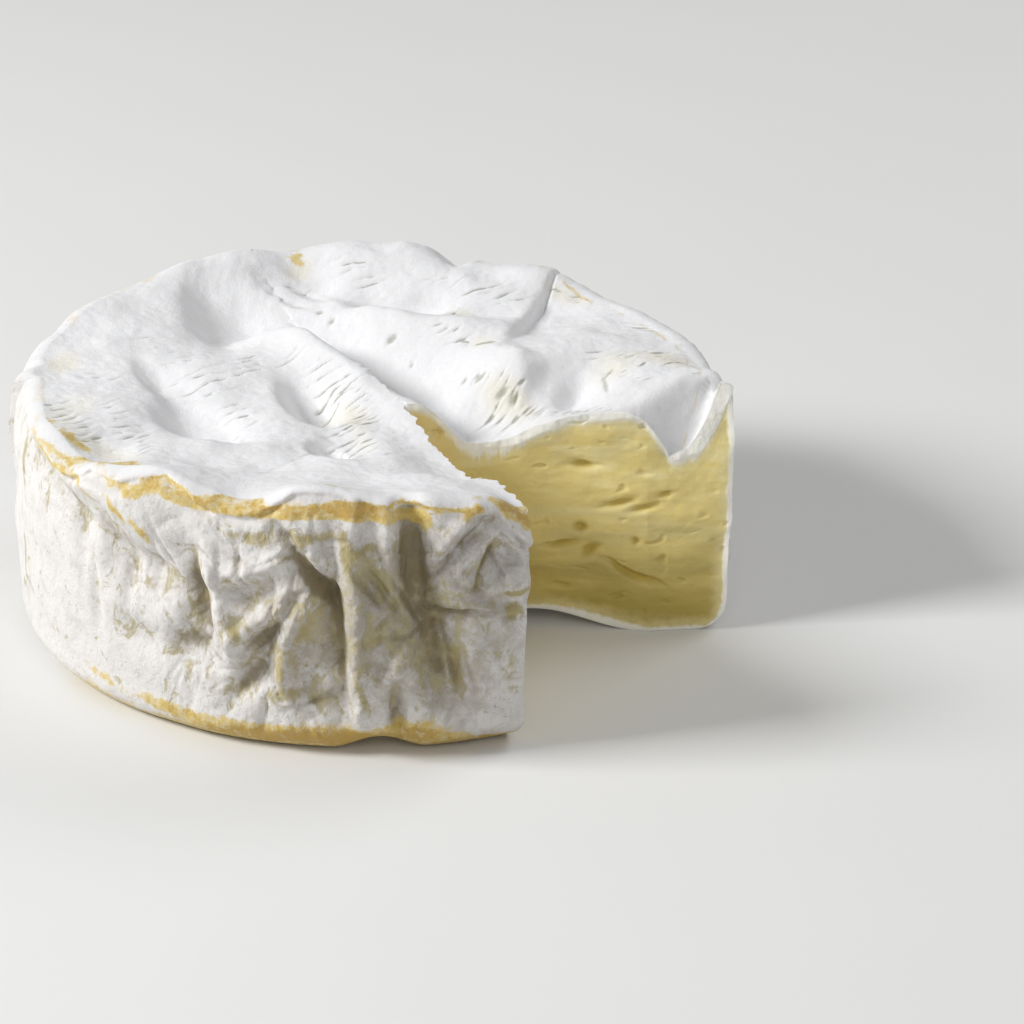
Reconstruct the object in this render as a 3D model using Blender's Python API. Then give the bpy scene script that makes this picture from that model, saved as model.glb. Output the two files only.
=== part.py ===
"""A soft white-rind cheese: a low wheel with one wedge cut out, as one solid.

The wheel is a box of (turn, reach, level) bent round its axis. Turn runs along the rim from
one cut face to the other, reach runs from the point where the two cuts meet out to the rim,
and level runs from the underside to the top. Five sides of that box are grids: top, underside,
rim, and the two cut faces. The sixth shrinks to the upright line where the cuts meet. The soft
relief of the rind is a sum of rounded forms.

Lengths are in millimetres and angles in degrees. MM turns them into Blender's metres. The
wheel stands on z = 0 with its axis on x = y = 0.
"""

import math
from collections import namedtuple
from random import Random

import bmesh
import bpy
import numpy as np

MM = 0.001

# Driving dimensions
WHEEL_RADIUS = 53.4
BELLY = 0.4                 # how far the wall swells out halfway up
MIDDLE_HEIGHT = 34.4        # of the sagging top at the axis
RIM_RISE = 4.9              # of the rim over the middle
SAG_POWER = 2.2
SHOULDER = 3.2              # radius from the top into the wall
FOOT = 5.5                  # radius from the wall into the underside
CUT_POINT = (5.0, -7.5)     # where the two cuts meet, a little off the axis
FAR_CUT_TURN = -3.6         # turn at which each cut leaves the rim
NEAR_CUT_TURN = 296.9
FAR_LEAN = 7.4              # the soft paste of the far cut creeps out at its foot
NEAR_LEAN = -1.8
LEAN_REACH = 15.0           # how deep behind a cut the paste moves with its face
CONTACT_LIFT = 0.3          # forms of the underside lower than this stay flat on the ground

# The grid that is shaped, and the triangles that are kept of it
COLUMNS = 460
ROWS = 50
LEVELS = 54
TRIANGLES = 10400
FOOT_SHARE = 0.15           # of the levels
SHOULDER_SHARE = 0.14

# A rounded hump, or a hollow where its height is negative. It is long in the direction turn,
# and its two flanks, on the left and on the right of that direction, have their own widths.
Form = namedtuple("Form", "x y along left right turn height")
FORM_POWER = 1.15           # over 1 for a flatter top and steeper flanks

TOP_FORMS = (
    # the deep valley, from the hollow at its upper end down to the far cut
    Form(-23.5, 27, 9, 4.5, 9, 105, -4.2),
    Form(-13, 29, 9, 6, 7, 0, -1.8),
    Form(-5, 19, 11, 7, 3.4, -58, -3.8),
    Form(4, 8, 11, 10, 4.0, -58, -4.8),
    Form(16, -7, 12, 10, 4.0, -64, -4.0),
    # the ridge beside it, which the cuts meet on
    Form(-15, 22, 9, 2.8, 4.5, -34, 2.0),
    Form(-6, 11, 9, 3.0, 4.2, -52, 2.6),
    Form(0.5, 1, 8, 3.0, 4.2, -62, 1.4),
    Form(8, -9, 7, 3.2, 4.5, -62, 2.4),
    Form(12.5, -24, 19, 5, 6, -64, -2.6),
    # dents in front of the ridge
    Form(-8.8, -2.5, 7.5, 5.0, 2.8, -72, -3.2),
    Form(-3, -20, 6, 4.2, 2.6, -66, -2.4),
    Form(-23, -14, 8, 6.5, 4.5, -34, -2.4),
    Form(-30.5, 0, 8, 4.5, 2.6, -70, -1.5),
    Form(-19, -31, 9, 5, 4, -10, -0.9),
    Form(9, -30, 8, 4, 4, 20, -0.7),
    Form(-22, 7, 9, 5, 5, 25, 0.6),
    # the second ridge, from the rim down to the far cut
    Form(0, 28, 9, 3.2, 5.0, -20, 1.7),
    Form(14, 22.5, 10, 3.8, 6.0, -10, 1.8),
    Form(21, 9, 8, 3.6, 6.0, -75, 2.3),
    Form(29, -5, 7, 5, 6, -10, 1.4),
    Form(32, -7, 19, 9, 14, 5, -3.4),
    # the shallow valley behind it
    Form(-11, 43, 6, 5, 3.4, -48, -2.4),
    Form(-3, 37, 9, 6, 3.2, -25, -1.8),
    Form(8, 34, 5, 4.5, 3.2, 0, -2.0),
    Form(18, 30.5, 6, 5.0, 3.2, -10, -1.4),
    # the fold beside the back plateau
    Form(25, 28, 11, 1.4, 6.0, 74, -2.0),
    Form(31.6, 3, 6.5, 2.8, 5, 72, -2.4),
    Form(26, 12, 5, 4, 4, 60, 0.8),
    # the sharp fold at the far cut's rim end
    Form(41.2, -6.4, 8, 1.6, 8, 30, -8.6),
    Form(41.1, -6.3, 3.4, 1.8, 1.9, 8, -4.6),
    Form(45, -7, 2.4, 3.6, 3, 4, 3.0),
    Form(49.6, -5.4, 3, 2.6, 1.6, 80, -1.6),
    Form(48, -1, 6, 1.8, 5, 32, -3.4),
    # highs and lows along the rim
    Form(-2, 48, 15, 5, 5, 0, 1.0),
    Form(14, 52, 6, 3.6, 1.4, 76, -3.4),
    Form(-26, 44, 10, 5, 5, 28, 1.4),
    Form(26, 41, 8, 4, 4, -36, 1.8),
    Form(19, 53, 15, 5, 6, -20, -3.2),
    Form(52, 9, 8, 5, 6, 98, -2.4),
    Form(40, 31, 26, 10, 12, -52, -3.6),
    Form(-50, 7, 22, 6, 8, 88, -1.7),
    Form(-41, 35, 10, 7, 5, 44, -1.3),
    Form(-38, -31, 6, 8, 5, -38, -1.6),
    Form(-28, -42, 5, 7, 4, -34, 1.3),
    Form(-16.5, -47, 4.5, 7, 4, -20, -1.2),
    Form(-6.5, -50, 5.5, 8, 4, -8, 1.7),
    Form(6, -51, 12, 5, 4, 0, 0.9),
    Form(24.5, -46.5, 4, 7, 4, 26, -2.6),
    Form(54, -4, 5, 2.5, 2.5, 90, 2.8),
)

# On the wall a form's place is (turn in degrees, height), and its height is radial.
WALL_FORMS = (
    # where the wheel is a little flat, and where its shoulder draws in
    Form(-140, 14, 42, 40, 20, 0, -1.1),
    Form(-173, 38, 12, 6, 4, 0, -1.2),
    Form(-3, 39.5, 5, 3, 2.4, 0, 1.8),
    Form(-3, 30, 4, 9, 8, 0, 0.8),
    # the flap under the rim, with the recess below it
    Form(-146, 38, 12, 4, 3.0, -8, 1.2),
    Form(-133, 36, 7, 4, 3.0, -25, 1.7),
    Form(-125, 33.5, 6, 3, 3.5, -28, 1.7),
    Form(-146, 31.5, 13, 2.6, 5, -14, -1.9),
    Form(-128, 25.5, 7, 2.2, 4.5, -22, -2.0),
    Form(-122.5, 24.5, 4, 3, 3, 10, -1.7),
    # lumps and grooves of the left part
    Form(-136, 27, 4.5, 2.6, 2.6, 90, 1.0),
    Form(-141, 26, 4, 1.0, 1.6, -70, -1.0),
    Form(-137, 19, 6, 1.2, 1.2, -84, -0.9),
    Form(-129.5, 22, 4, 1.3, 1.3, -88, -1.0),
    Form(-127, 14, 4, 2.5, 2.5, -20, -1.2),
    Form(-118, 14.5, 4.5, 3, 3, 20, -1.9),
    Form(178, 29, 10, 3, 4, 0, 0.9),
    Form(176, 20, 14, 2.5, 2.5, 0, -1.2),
    # the brown fold and the ridge beside it
    Form(-115, 23, 6.5, 1.0, 3.0, -80, -2.6),
    Form(-111.5, 23, 8, 1.6, 1.2, -78, 1.4),
    # crumpled middle
    Form(-106.5, 29.5, 6.5, 1.2, 2.2, 14, 1.3),
    Form(-108, 25, 5, 1.8, 1.6, 6, -1.7),
    Form(-104.5, 22, 6.5, 1.5, 1.5, 38, 1.4),
    Form(-105.5, 17.5, 3.4, 2.2, 2.0, 30, -2.3),
    Form(-106.5, 12, 5.5, 1.8, 1.8, 48, -1.9),
    Form(-109.5, 16.5, 3.5, 2, 2, 70, 1.0),
    Form(-99.3, 20.5, 4.5, 1.5, 1.5, 62, 1.6),
    Form(-101.5, 14, 5.5, 1.3, 1.5, -84, 1.7),
    Form(-98, 13, 5, 3, 3, -80, -1.3),
    Form(-97, 31, 6, 3, 2.4, -52, 1.0),
    # the slanting crack, then the upright groove and its bright ridge
    Form(-98.5, 30, 7.5, 0.6, 1.6, -56, -2.2),
    Form(-94, 25.5, 3, 0.7, 1.8, -45, -1.9),
    Form(-92.8, 17.5, 11.5, 1.0, 2.8, -86, -2.9),
    Form(-90.3, 30, 9, 1.3, 1.6, -88, 1.6),
    Form(-90.0, 15, 9.5, 1.4, 1.8, -88, 1.9),
    Form(-88, 31, 5, 1.6, 1.6, -62, -1.3),
    Form(-86.8, 26, 4.5, 0.7, 1.3, -52, -1.7),
    Form(-84.8, 33, 5.5, 1.2, 1.6, -86, 1.7),
    # the wide dark fold
    Form(-81.6, 32.5, 8.5, 2.4, 2.6, -84, -3.0),
    Form(-79.3, 23.5, 8, 2.2, 3.2, -74, -3.0),
    Form(-77.6, 15, 5, 1.6, 3.0, -78, -2.6),
    Form(-84, 14.5, 6.5, 1.3, 1.3, 62, 1.6),
    Form(-84, 5, 5, 1.2, 1.2, -88, -2.2),
    Form(-79, 6.5, 4, 3, 3, 0, 1.2),
    # creases and lumps by the near cut
    Form(-74, 32.5, 6.5, 1.5, 0.8, 46, -1.7),
    Form(-76, 33.5, 6.5, 1.2, 1.2, 48, 1.2),
    Form(-69.6, 29.5, 5.5, 1.2, 1.2, 66, -2.0),
    Form(-65.5, 34.5, 2.6, 2.2, 2.2, 0, 1.6),
    Form(-66.3, 31.4, 1.8, 1.2, 1.2, 0, -1.6),
    Form(-65.5, 28, 3.2, 2.6, 2.6, 60, 1.6),
    Form(-67, 24.5, 3, 1.4, 1.4, 10, -1.2),
    Form(-75.5, 22.3, 3.4, 1.0, 1.0, 0, -1.2),
    Form(-74.3, 13, 4.5, 0.9, 1.2, -86, -1.4),
    Form(-69, 17, 8, 4, 4, 84, 1.0),
    Form(-64, 4, 4, 3, 3, 0, 1.4),
)

# The wall round the back carries folds of the same kind, spread by a rule.
BACK_FOLDS = 64
BACK_TURNS = (-2.0, 176.0)
BACK_SEED = 11

# Hollows that arch the underside, spread by a rule, and two that show at its edge.
HOLLOWS = 7
HOLLOW_SEED = 5
HOLLOW_TURNS = (35, 270)
NOTCH_ARCH = Form(24, -3, 10, 7, 7, -4, 3.2)
FOOT_NOTCH = Form(3, -50, 5, 5, 5, 0, 2.4)

LUMPS = ((9.0, 0.45, 1), (4.5, 0.28, 2))    # (size, height, seed) of the general unevenness

# (distance along the cut, height, along, above, below, turn, depth) of the holes in the paste
FAR_HOLES = (
    Form(28.0, 26.0, 2.2, 0.7, 0.7, 0, 1.2),
    Form(36.5, 20.5, 3.0, 1.0, 1.0, 14, 1.1),
    Form(41.0, 21.0, 2.2, 0.8, 0.8, 20, 0.9),
    Form(26.5, 12.5, 1.6, 1.5, 1.0, 20, 1.8),
    Form(21.0, 13.5, 2.8, 0.6, 0.6, -10, 1.1),
    Form(33.0, 10.0, 3.4, 0.7, 0.7, -14, 1.5),
)
NEAR_HOLES = (
    Form(14.0, 24.0, 2.6, 0.8, 0.8, 4, 1.2),
    Form(30.0, 19.0, 3.2, 1.0, 0.9, -8, 1.3),
    Form(22.0, 10.5, 3.6, 0.8, 0.8, 6, 1.5),
    Form(38.0, 27.0, 2.0, 0.7, 0.7, 0, 1.0),
    Form(10.0, 14.0, 1.8, 1.2, 1.0, 20, 1.5),
)

RIND_COLOUR = (0.86, 0.85, 0.81, 1.0)
RIND_ROUGHNESS = 0.85
SHARP_FROM = 50.0           # degrees between faces


def relief(forms, x, y, x_scale=1.0):
    """Sum of the forms at the points (x, y). x_scale turns the forms' own x into millimetres."""
    total = np.zeros(np.shape(x))
    for form in forms:
        turn = math.radians(form.turn)
        east = (x - form.x) * x_scale
        north = y - form.y
        ahead = east * math.cos(turn) + north * math.sin(turn)
        aside = north * math.cos(turn) - east * math.sin(turn)
        width = np.where(aside > 0, form.left, form.right)
        far = (ahead / form.along) ** 2 + (aside / width) ** 2
        total += form.height * np.exp(-(far ** FORM_POWER))
    return total


def cloud(points, size, seed):
    """Smooth noise between -1 and 1 with lumps of this size, at (n, 3) points."""
    lattice = np.random.default_rng(seed).uniform(-1, 1, (32, 32, 32))
    place = points / size
    cell = np.floor(place).astype(int)
    part = place - cell
    part = part * part * (3 - 2 * part)
    total = np.zeros(len(points))
    for corner in np.ndindex(2, 2, 2):
        share = np.prod(np.where(corner, part, 1 - part), axis=1)
        total += share * lattice[tuple(((cell + corner) % 32).T)]
    return total


def lumps(x, y, z):
    points = np.stack([x, y, z], axis=-1).reshape(-1, 3)
    total = sum(height * cloud(points, size, seed) for size, height, seed in LUMPS)
    return total.reshape(np.shape(x))


def top_height(x, y):
    away = np.clip(np.hypot(x, y) / WHEEL_RADIUS, 0, 1)
    return (MIDDLE_HEIGHT + RIM_RISE * away ** SAG_POWER + relief(TOP_FORMS, x, y)
            + lumps(x, y, 0 * x))


def hollow_forms():
    """Shallow arches round the underside, with the flat ring and the flat middle left between."""
    draw = Random(HOLLOW_SEED)
    forms = [NOTCH_ARCH, FOOT_NOTCH]
    for i in range(HOLLOWS):
        turn = between(*HOLLOW_TURNS, (i + draw.uniform(0.1, 0.9)) / HOLLOWS)
        away = WHEEL_RADIUS * draw.uniform(0.42, 0.72)
        size = draw.uniform(4, 8)
        forms.append(Form(away * math.cos(math.radians(turn)),
                          away * math.sin(math.radians(turn)),
                          size * draw.uniform(1.1, 1.8), size, size,
                          turn + draw.uniform(40, 140), draw.uniform(0.9, 2.2)))
    return forms


def underside_height(x, y):
    return np.maximum(relief(hollow_forms(), x, y) - CONTACT_LIFT, 0)


def back_folds():
    draw = Random(BACK_SEED)
    folds = []
    for _ in range(BACK_FOLDS):
        folds.append(Form(draw.uniform(*BACK_TURNS), draw.uniform(5, 35), draw.uniform(3, 9),
                          draw.uniform(0.9, 3), draw.uniform(0.9, 3), draw.gauss(90, 28),
                          draw.choice((-1.5, -1.1, 0.8, 1.1))))
    return folds


def wall_point(turn, level):
    """Radius on the wall, and the share of the height there, for a level from 0 to 1."""
    foot_bend = np.radians(90 * np.clip(level / FOOT_SHARE, 0, 1) - 90)
    shoulder_bend = np.radians(90 * np.clip((level - 1) / SHOULDER_SHARE + 1, 0, 1))
    wall = np.clip((level - FOOT_SHARE) / (1 - FOOT_SHARE - SHOULDER_SHARE), 0, 1)
    height = MIDDLE_HEIGHT + RIM_RISE
    z = (FOOT * (1 + np.sin(foot_bend)) + (height - FOOT - SHOULDER) * wall
         + SHOULDER * np.sin(shoulder_bend))
    radius = (WHEEL_RADIUS - FOOT * (1 - np.cos(foot_bend)) - SHOULDER * (1 - np.cos(shoulder_bend))
              + BELLY * np.sin(math.pi * wall))
    seen_turn = (turn + 180) % 360 - 180
    arc = math.radians(WHEEL_RADIUS)
    folds = relief(WALL_FORMS + tuple(back_folds()), seen_turn, z, arc)
    radius = radius + folds * np.clip(z / FOOT, 0, 1)
    east = radius * np.cos(np.radians(turn))
    north = radius * np.sin(np.radians(turn))
    swell = lumps(east, north, z) * np.sin(math.pi * np.clip(z / height, 0, 1))
    radius = radius + swell
    return radius * np.cos(np.radians(turn)), radius * np.sin(np.radians(turn)), z / height


def between(start, end, share):
    return start + (end - start) * share


def cut_shift(x, y, z, rim_turn, side, lean, holes):
    """How far the points near one cut move out of the cheese, square to that cut."""
    rim = np.array([math.cos(math.radians(rim_turn)), math.sin(math.radians(rim_turn))])
    line = rim * WHEEL_RADIUS - CUT_POINT
    length = np.hypot(*line)
    line /= length
    out = side * np.array([line[1], -line[0]])
    along = (x - CUT_POINT[0]) * line[0] + (y - CUT_POINT[1]) * line[1]
    depth = -(x - CUT_POINT[0]) * out[0] - (y - CUT_POINT[1]) * out[1]
    height = MIDDLE_HEIGHT + RIM_RISE
    creep = lean * np.clip(along / (0.75 * length), 0, 1) ** 1.3 * np.clip(1 - z / height, 0, 1)
    shift = creep * np.exp(-(depth / LEAN_REACH) ** 2)
    shift -= relief(holes, along, z) * (abs(depth) < CONTACT_LIFT) * (along < 0.9 * length)
    return shift * out[0], shift * out[1]


def place(turn, reach, level):
    """The points of the cheese for turn in degrees and reach and level from 0 to 1."""
    wall_x, wall_y, share = wall_point(turn, level)
    foot_x, foot_y, _ = wall_point(turn, 0 * level)
    crown_x, crown_y, _ = wall_point(turn, 0 * level + 1)
    x = between(CUT_POINT[0], wall_x, reach)
    y = between(CUT_POINT[1], wall_y, reach)
    low = underside_height(between(CUT_POINT[0], foot_x, reach),
                           between(CUT_POINT[1], foot_y, reach))
    high = top_height(between(CUT_POINT[0], crown_x, reach),
                      between(CUT_POINT[1], crown_y, reach))
    z = between(low, high, share)
    far_x, far_y = cut_shift(x, y, z, FAR_CUT_TURN, 1, FAR_LEAN, FAR_HOLES)
    near_x, near_y = cut_shift(x, y, z, NEAR_CUT_TURN, -1, NEAR_LEAN, NEAR_HOLES)
    return np.stack([x + far_x + near_x, y + far_y + near_y, z], axis=-1) * MM


def add_side(model, columns, rows, where):
    """A grid of columns by rows faces, bent into one side of the cheese by where(u, v)."""
    grid = bmesh.ops.create_grid(model, x_segments=columns, y_segments=rows, size=0.5)
    verts = grid["verts"]
    share = np.array([vert.co[:2] for vert in verts]) + 0.5
    for vert, point in zip(verts, where(share[:, 0], share[:, 1])):
        vert.co = point


def make_cheese():
    model = bmesh.new()
    sweep = NEAR_CUT_TURN - FAR_CUT_TURN

    def turned(share):
        return FAR_CUT_TURN + sweep * share

    add_side(model, COLUMNS, ROWS, lambda u, v: place(turned(u), v, 0 * u + 1))
    add_side(model, COLUMNS, ROWS, lambda u, v: place(turned(u), v, 0 * u))
    add_side(model, COLUMNS, LEVELS, lambda u, v: place(turned(u), 0 * u + 1, v))
    for end in (0, 1):
        add_side(model, ROWS, LEVELS, lambda u, v: place(0 * u + turned(end), u, v))
    bmesh.ops.remove_doubles(model, verts=model.verts, dist=0.002 * MM)
    bmesh.ops.dissolve_degenerate(model, edges=model.edges, dist=0.002 * MM)
    bmesh.ops.recalc_face_normals(model, faces=model.faces)
    mesh = bpy.data.meshes.new("cheese")
    model.to_mesh(mesh)
    model.free()
    return bpy.data.objects.new("cheese", mesh)


def thin_out(cheese):
    """Keeps the triangles that the shape needs most, and sets the lowest points on the ground."""
    thin = cheese.modifiers.new("thin_out", "DECIMATE")
    cheese.data.calc_loop_triangles()
    thin.ratio = TRIANGLES / len(cheese.data.loop_triangles)
    depsgraph = bpy.context.evaluated_depsgraph_get()
    mesh = bpy.data.meshes.new_from_object(cheese.evaluated_get(depsgraph), depsgraph=depsgraph)
    cheese.modifiers.remove(thin)
    full, cheese.data = cheese.data, mesh
    bpy.data.meshes.remove(full)
    for vert in mesh.vertices:
        if vert.co.z < 0.05 * MM:
            vert.co.z = 0


def material(name, colour, roughness):
    made = bpy.data.materials.new(name)
    made.use_nodes = True
    shader = made.node_tree.nodes["Principled BSDF"]
    shader.inputs["Base Color"].default_value = colour
    shader.inputs["Roughness"].default_value = roughness
    shader.inputs["Metallic"].default_value = 0
    return made


def main():
    for thing in list(bpy.data.objects):
        bpy.data.objects.remove(thing)
    pieces = bpy.data.collections.new("camembert")
    bpy.context.scene.collection.children.link(pieces)
    cheese = make_cheese()
    cheese.data.materials.append(material("rind", RIND_COLOUR, RIND_ROUGHNESS))
    pieces.objects.link(cheese)
    thin_out(cheese)
    cheese.data.shade_smooth()
    cheese.data.set_sharp_from_angle(angle=math.radians(SHARP_FROM))


main()
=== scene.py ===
"""Finish of the cut camembert: its mould rind, its cut paste, and the light it stands in.

The rind is one skin that runs from the point where the two cuts meet out over the underside to
the foot, up the wall and back in over the top. It is worked out as one grid of (path, turn), and
its pieces are cut from that grid, so that they meet without a step. Each cut face is a grid of
its own between the same edges. Lengths inside the shape functions are in
millimetres and angles in degrees. MM turns them into Blender's metres.
"""

import math
from collections import namedtuple
from functools import lru_cache
from random import Random

import bpy
import numpy as np
from bpy.props import FloatProperty, FloatVectorProperty, PointerProperty
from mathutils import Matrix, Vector


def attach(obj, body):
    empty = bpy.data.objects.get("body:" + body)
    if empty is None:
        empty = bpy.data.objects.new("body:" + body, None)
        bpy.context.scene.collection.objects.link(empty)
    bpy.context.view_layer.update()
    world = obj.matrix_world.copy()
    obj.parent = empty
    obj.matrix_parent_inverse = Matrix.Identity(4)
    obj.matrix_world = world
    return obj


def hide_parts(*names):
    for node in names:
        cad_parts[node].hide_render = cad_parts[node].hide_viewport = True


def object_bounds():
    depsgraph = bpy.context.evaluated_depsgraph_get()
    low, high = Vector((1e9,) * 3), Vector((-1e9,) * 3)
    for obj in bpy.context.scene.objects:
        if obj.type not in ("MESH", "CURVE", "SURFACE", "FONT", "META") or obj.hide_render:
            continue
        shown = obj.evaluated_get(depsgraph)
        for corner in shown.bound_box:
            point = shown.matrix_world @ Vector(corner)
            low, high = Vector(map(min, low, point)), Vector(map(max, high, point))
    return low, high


bl_info = {
    "name": "Cut Camembert",
    "version": (1, 0, 0),
    "blender": (4, 5, 0),
    "location": "View3D > Sidebar > Camembert",
    "description": "Makes the rind, the cut paste and the studio of a cut camembert",
    "category": "Add Mesh",
}

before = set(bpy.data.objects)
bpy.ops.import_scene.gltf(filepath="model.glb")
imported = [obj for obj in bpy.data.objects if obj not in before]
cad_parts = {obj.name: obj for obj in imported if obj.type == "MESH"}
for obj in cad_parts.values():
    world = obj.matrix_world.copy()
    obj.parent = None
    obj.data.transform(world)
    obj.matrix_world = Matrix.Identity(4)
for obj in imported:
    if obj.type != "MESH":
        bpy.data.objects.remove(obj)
CAD_LOW, CAD_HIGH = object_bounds()

MM = 0.001
BODY = "root"
NODE = "cheese"

# The wheel, as in the solid
WHEEL_RADIUS = 53.4
BELLY = 0.4
MIDDLE_HEIGHT = 34.4
RIM_RISE = 4.9
SAG_POWER = 2.2
SHOULDER = 3.2
FOOT = 5.5
CUT_POINT = (5.0, -7.5)
FAR_CUT_TURN = -3.6
NEAR_CUT_TURN = 296.9
FAR_LEAN = 7.4
NEAR_LEAN = -1.8
LEAN_REACH = 15.0
CONTACT_LIFT = 0.3
ARC = math.radians(WHEEL_RADIUS)    # millimetres of wall in a degree
FOOT_SHARE = 0.15
SHOULDER_SHARE = 0.14

# Cells of the grids
TURNS = 960
TOP_ROWS = 196
WALL_ROWS = 140
BASE_ROWS = 40
FAR_FACE = (320, 220)     # columns and rows of the cut faces
NEAR_FACE = (240, 160)

# A rounded hump, or a hollow where its height is negative. It is long in the direction turn,
# and its two flanks, on the left and on the right of that direction, have their own widths.
Form = namedtuple("Form", "x y along left right turn height")
FORM_POWER = 1.15


def forms(*rows):
    """Each row as a form."""
    return tuple(Form(*row) for row in rows)


TOP_FORMS = forms(
    # the deep valley, from the hollow at its upper end down to the far cut
    (-23.5, 27, 9, 4.5, 9, 105, -4.2),
    (-13, 29, 9, 6, 7, 0, -1.8),
    (-5, 19, 11, 7, 3.4, -58, -3.8),
    (4, 8, 11, 10, 4, -58, -4.8),
    (16, -7, 12, 10, 4, -64, -4),
    # the ridge beside it, which the cuts meet on
    (-15, 22, 9, 2.8, 4.5, -34, 2),
    (-6, 11, 9, 3, 4.2, -52, 2.6),
    (0.5, 1, 8, 3, 4.2, -62, 1.4),
    (8, -9, 7, 3.2, 4.5, -62, 2.4),
    (12.5, -24, 19, 5, 6, -64, -2.6),
    # dents in front of the ridge
    (-8.8, -2.5, 7.5, 5, 2.8, -72, -3.2),
    (-3, -20, 6, 4.2, 2.6, -66, -2.4),
    (-23, -14, 8, 6.5, 4.5, -34, -2.4),
    (-30.5, 0, 8, 4.5, 2.6, -70, -1.5),
    (-19, -31, 9, 5, 4, -10, -0.9),
    (9, -30, 8, 4, 4, 20, -0.7),
    (-22, 7, 9, 5, 5, 25, 0.6),
    # the second ridge, from the rim down to the far cut
    (0, 28, 9, 3.2, 5, -20, 1.7),
    (14, 22.5, 10, 3.8, 6, -10, 1.8),
    (21, 9, 8, 3.6, 6, -75, 2.3),
    (29, -5, 7, 5, 6, -10, 1.4),
    (32, -7, 19, 9, 14, 5, -3.4),
    # the shallow valley behind it
    (-11, 43, 6, 5, 3.4, -48, -2.4),
    (-3, 37, 9, 6, 3.2, -25, -1.8),
    (8, 34, 5, 4.5, 3.2, 0, -2),
    (18, 30.5, 6, 5, 3.2, -10, -1.4),
    # the fold beside the back plateau
    (25, 28, 11, 1.4, 6, 74, -2),
    (31.6, 3, 6.5, 2.8, 5, 72, -2.4),
    (26, 12, 5, 4, 4, 60, 0.8),
    # the sharp fold at the far cut's rim end
    (41.2, -6.4, 8, 1.6, 8, 30, -8.6),
    (41.1, -6.3, 3.4, 1.8, 1.9, 8, -4.6),
    (45, -7, 2.4, 3.6, 3, 4, 3),
    (49.6, -5.4, 3, 2.6, 1.6, 80, -1.6),
    (48, -1, 6, 1.8, 5, 32, -3.4),
    # highs and lows along the rim
    (-2, 48, 15, 5, 5, 0, 1),
    (14, 52, 6, 3.6, 1.4, 76, -3.4),
    (-26, 44, 10, 5, 5, 28, 1.4),
    (26, 41, 8, 4, 4, -36, 1.8),
    (19, 53, 15, 5, 6, -20, -3.2),
    (52, 9, 8, 5, 6, 98, -2.4),
    (40, 31, 26, 10, 12, -52, -3.6),
    (-50, 7, 22, 6, 8, 88, -1.7),
    (-41, 35, 10, 7, 5, 44, -1.3),
    (-38, -31, 6, 8, 5, -38, -1.6),
    (-28, -42, 5, 7, 4, -34, 1.3),
    (-16.5, -47, 4.5, 7, 4, -20, -1.2),
    (-6.5, -50, 5.5, 8, 4, -8, 1.7),
    (6, -51, 12, 5, 4, 0, 0.9),
    (24.5, -46.5, 4, 7, 4, 26, -2.6),
    (54, -4, 5, 2.5, 2.5, 90, 2.8),
)

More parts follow.
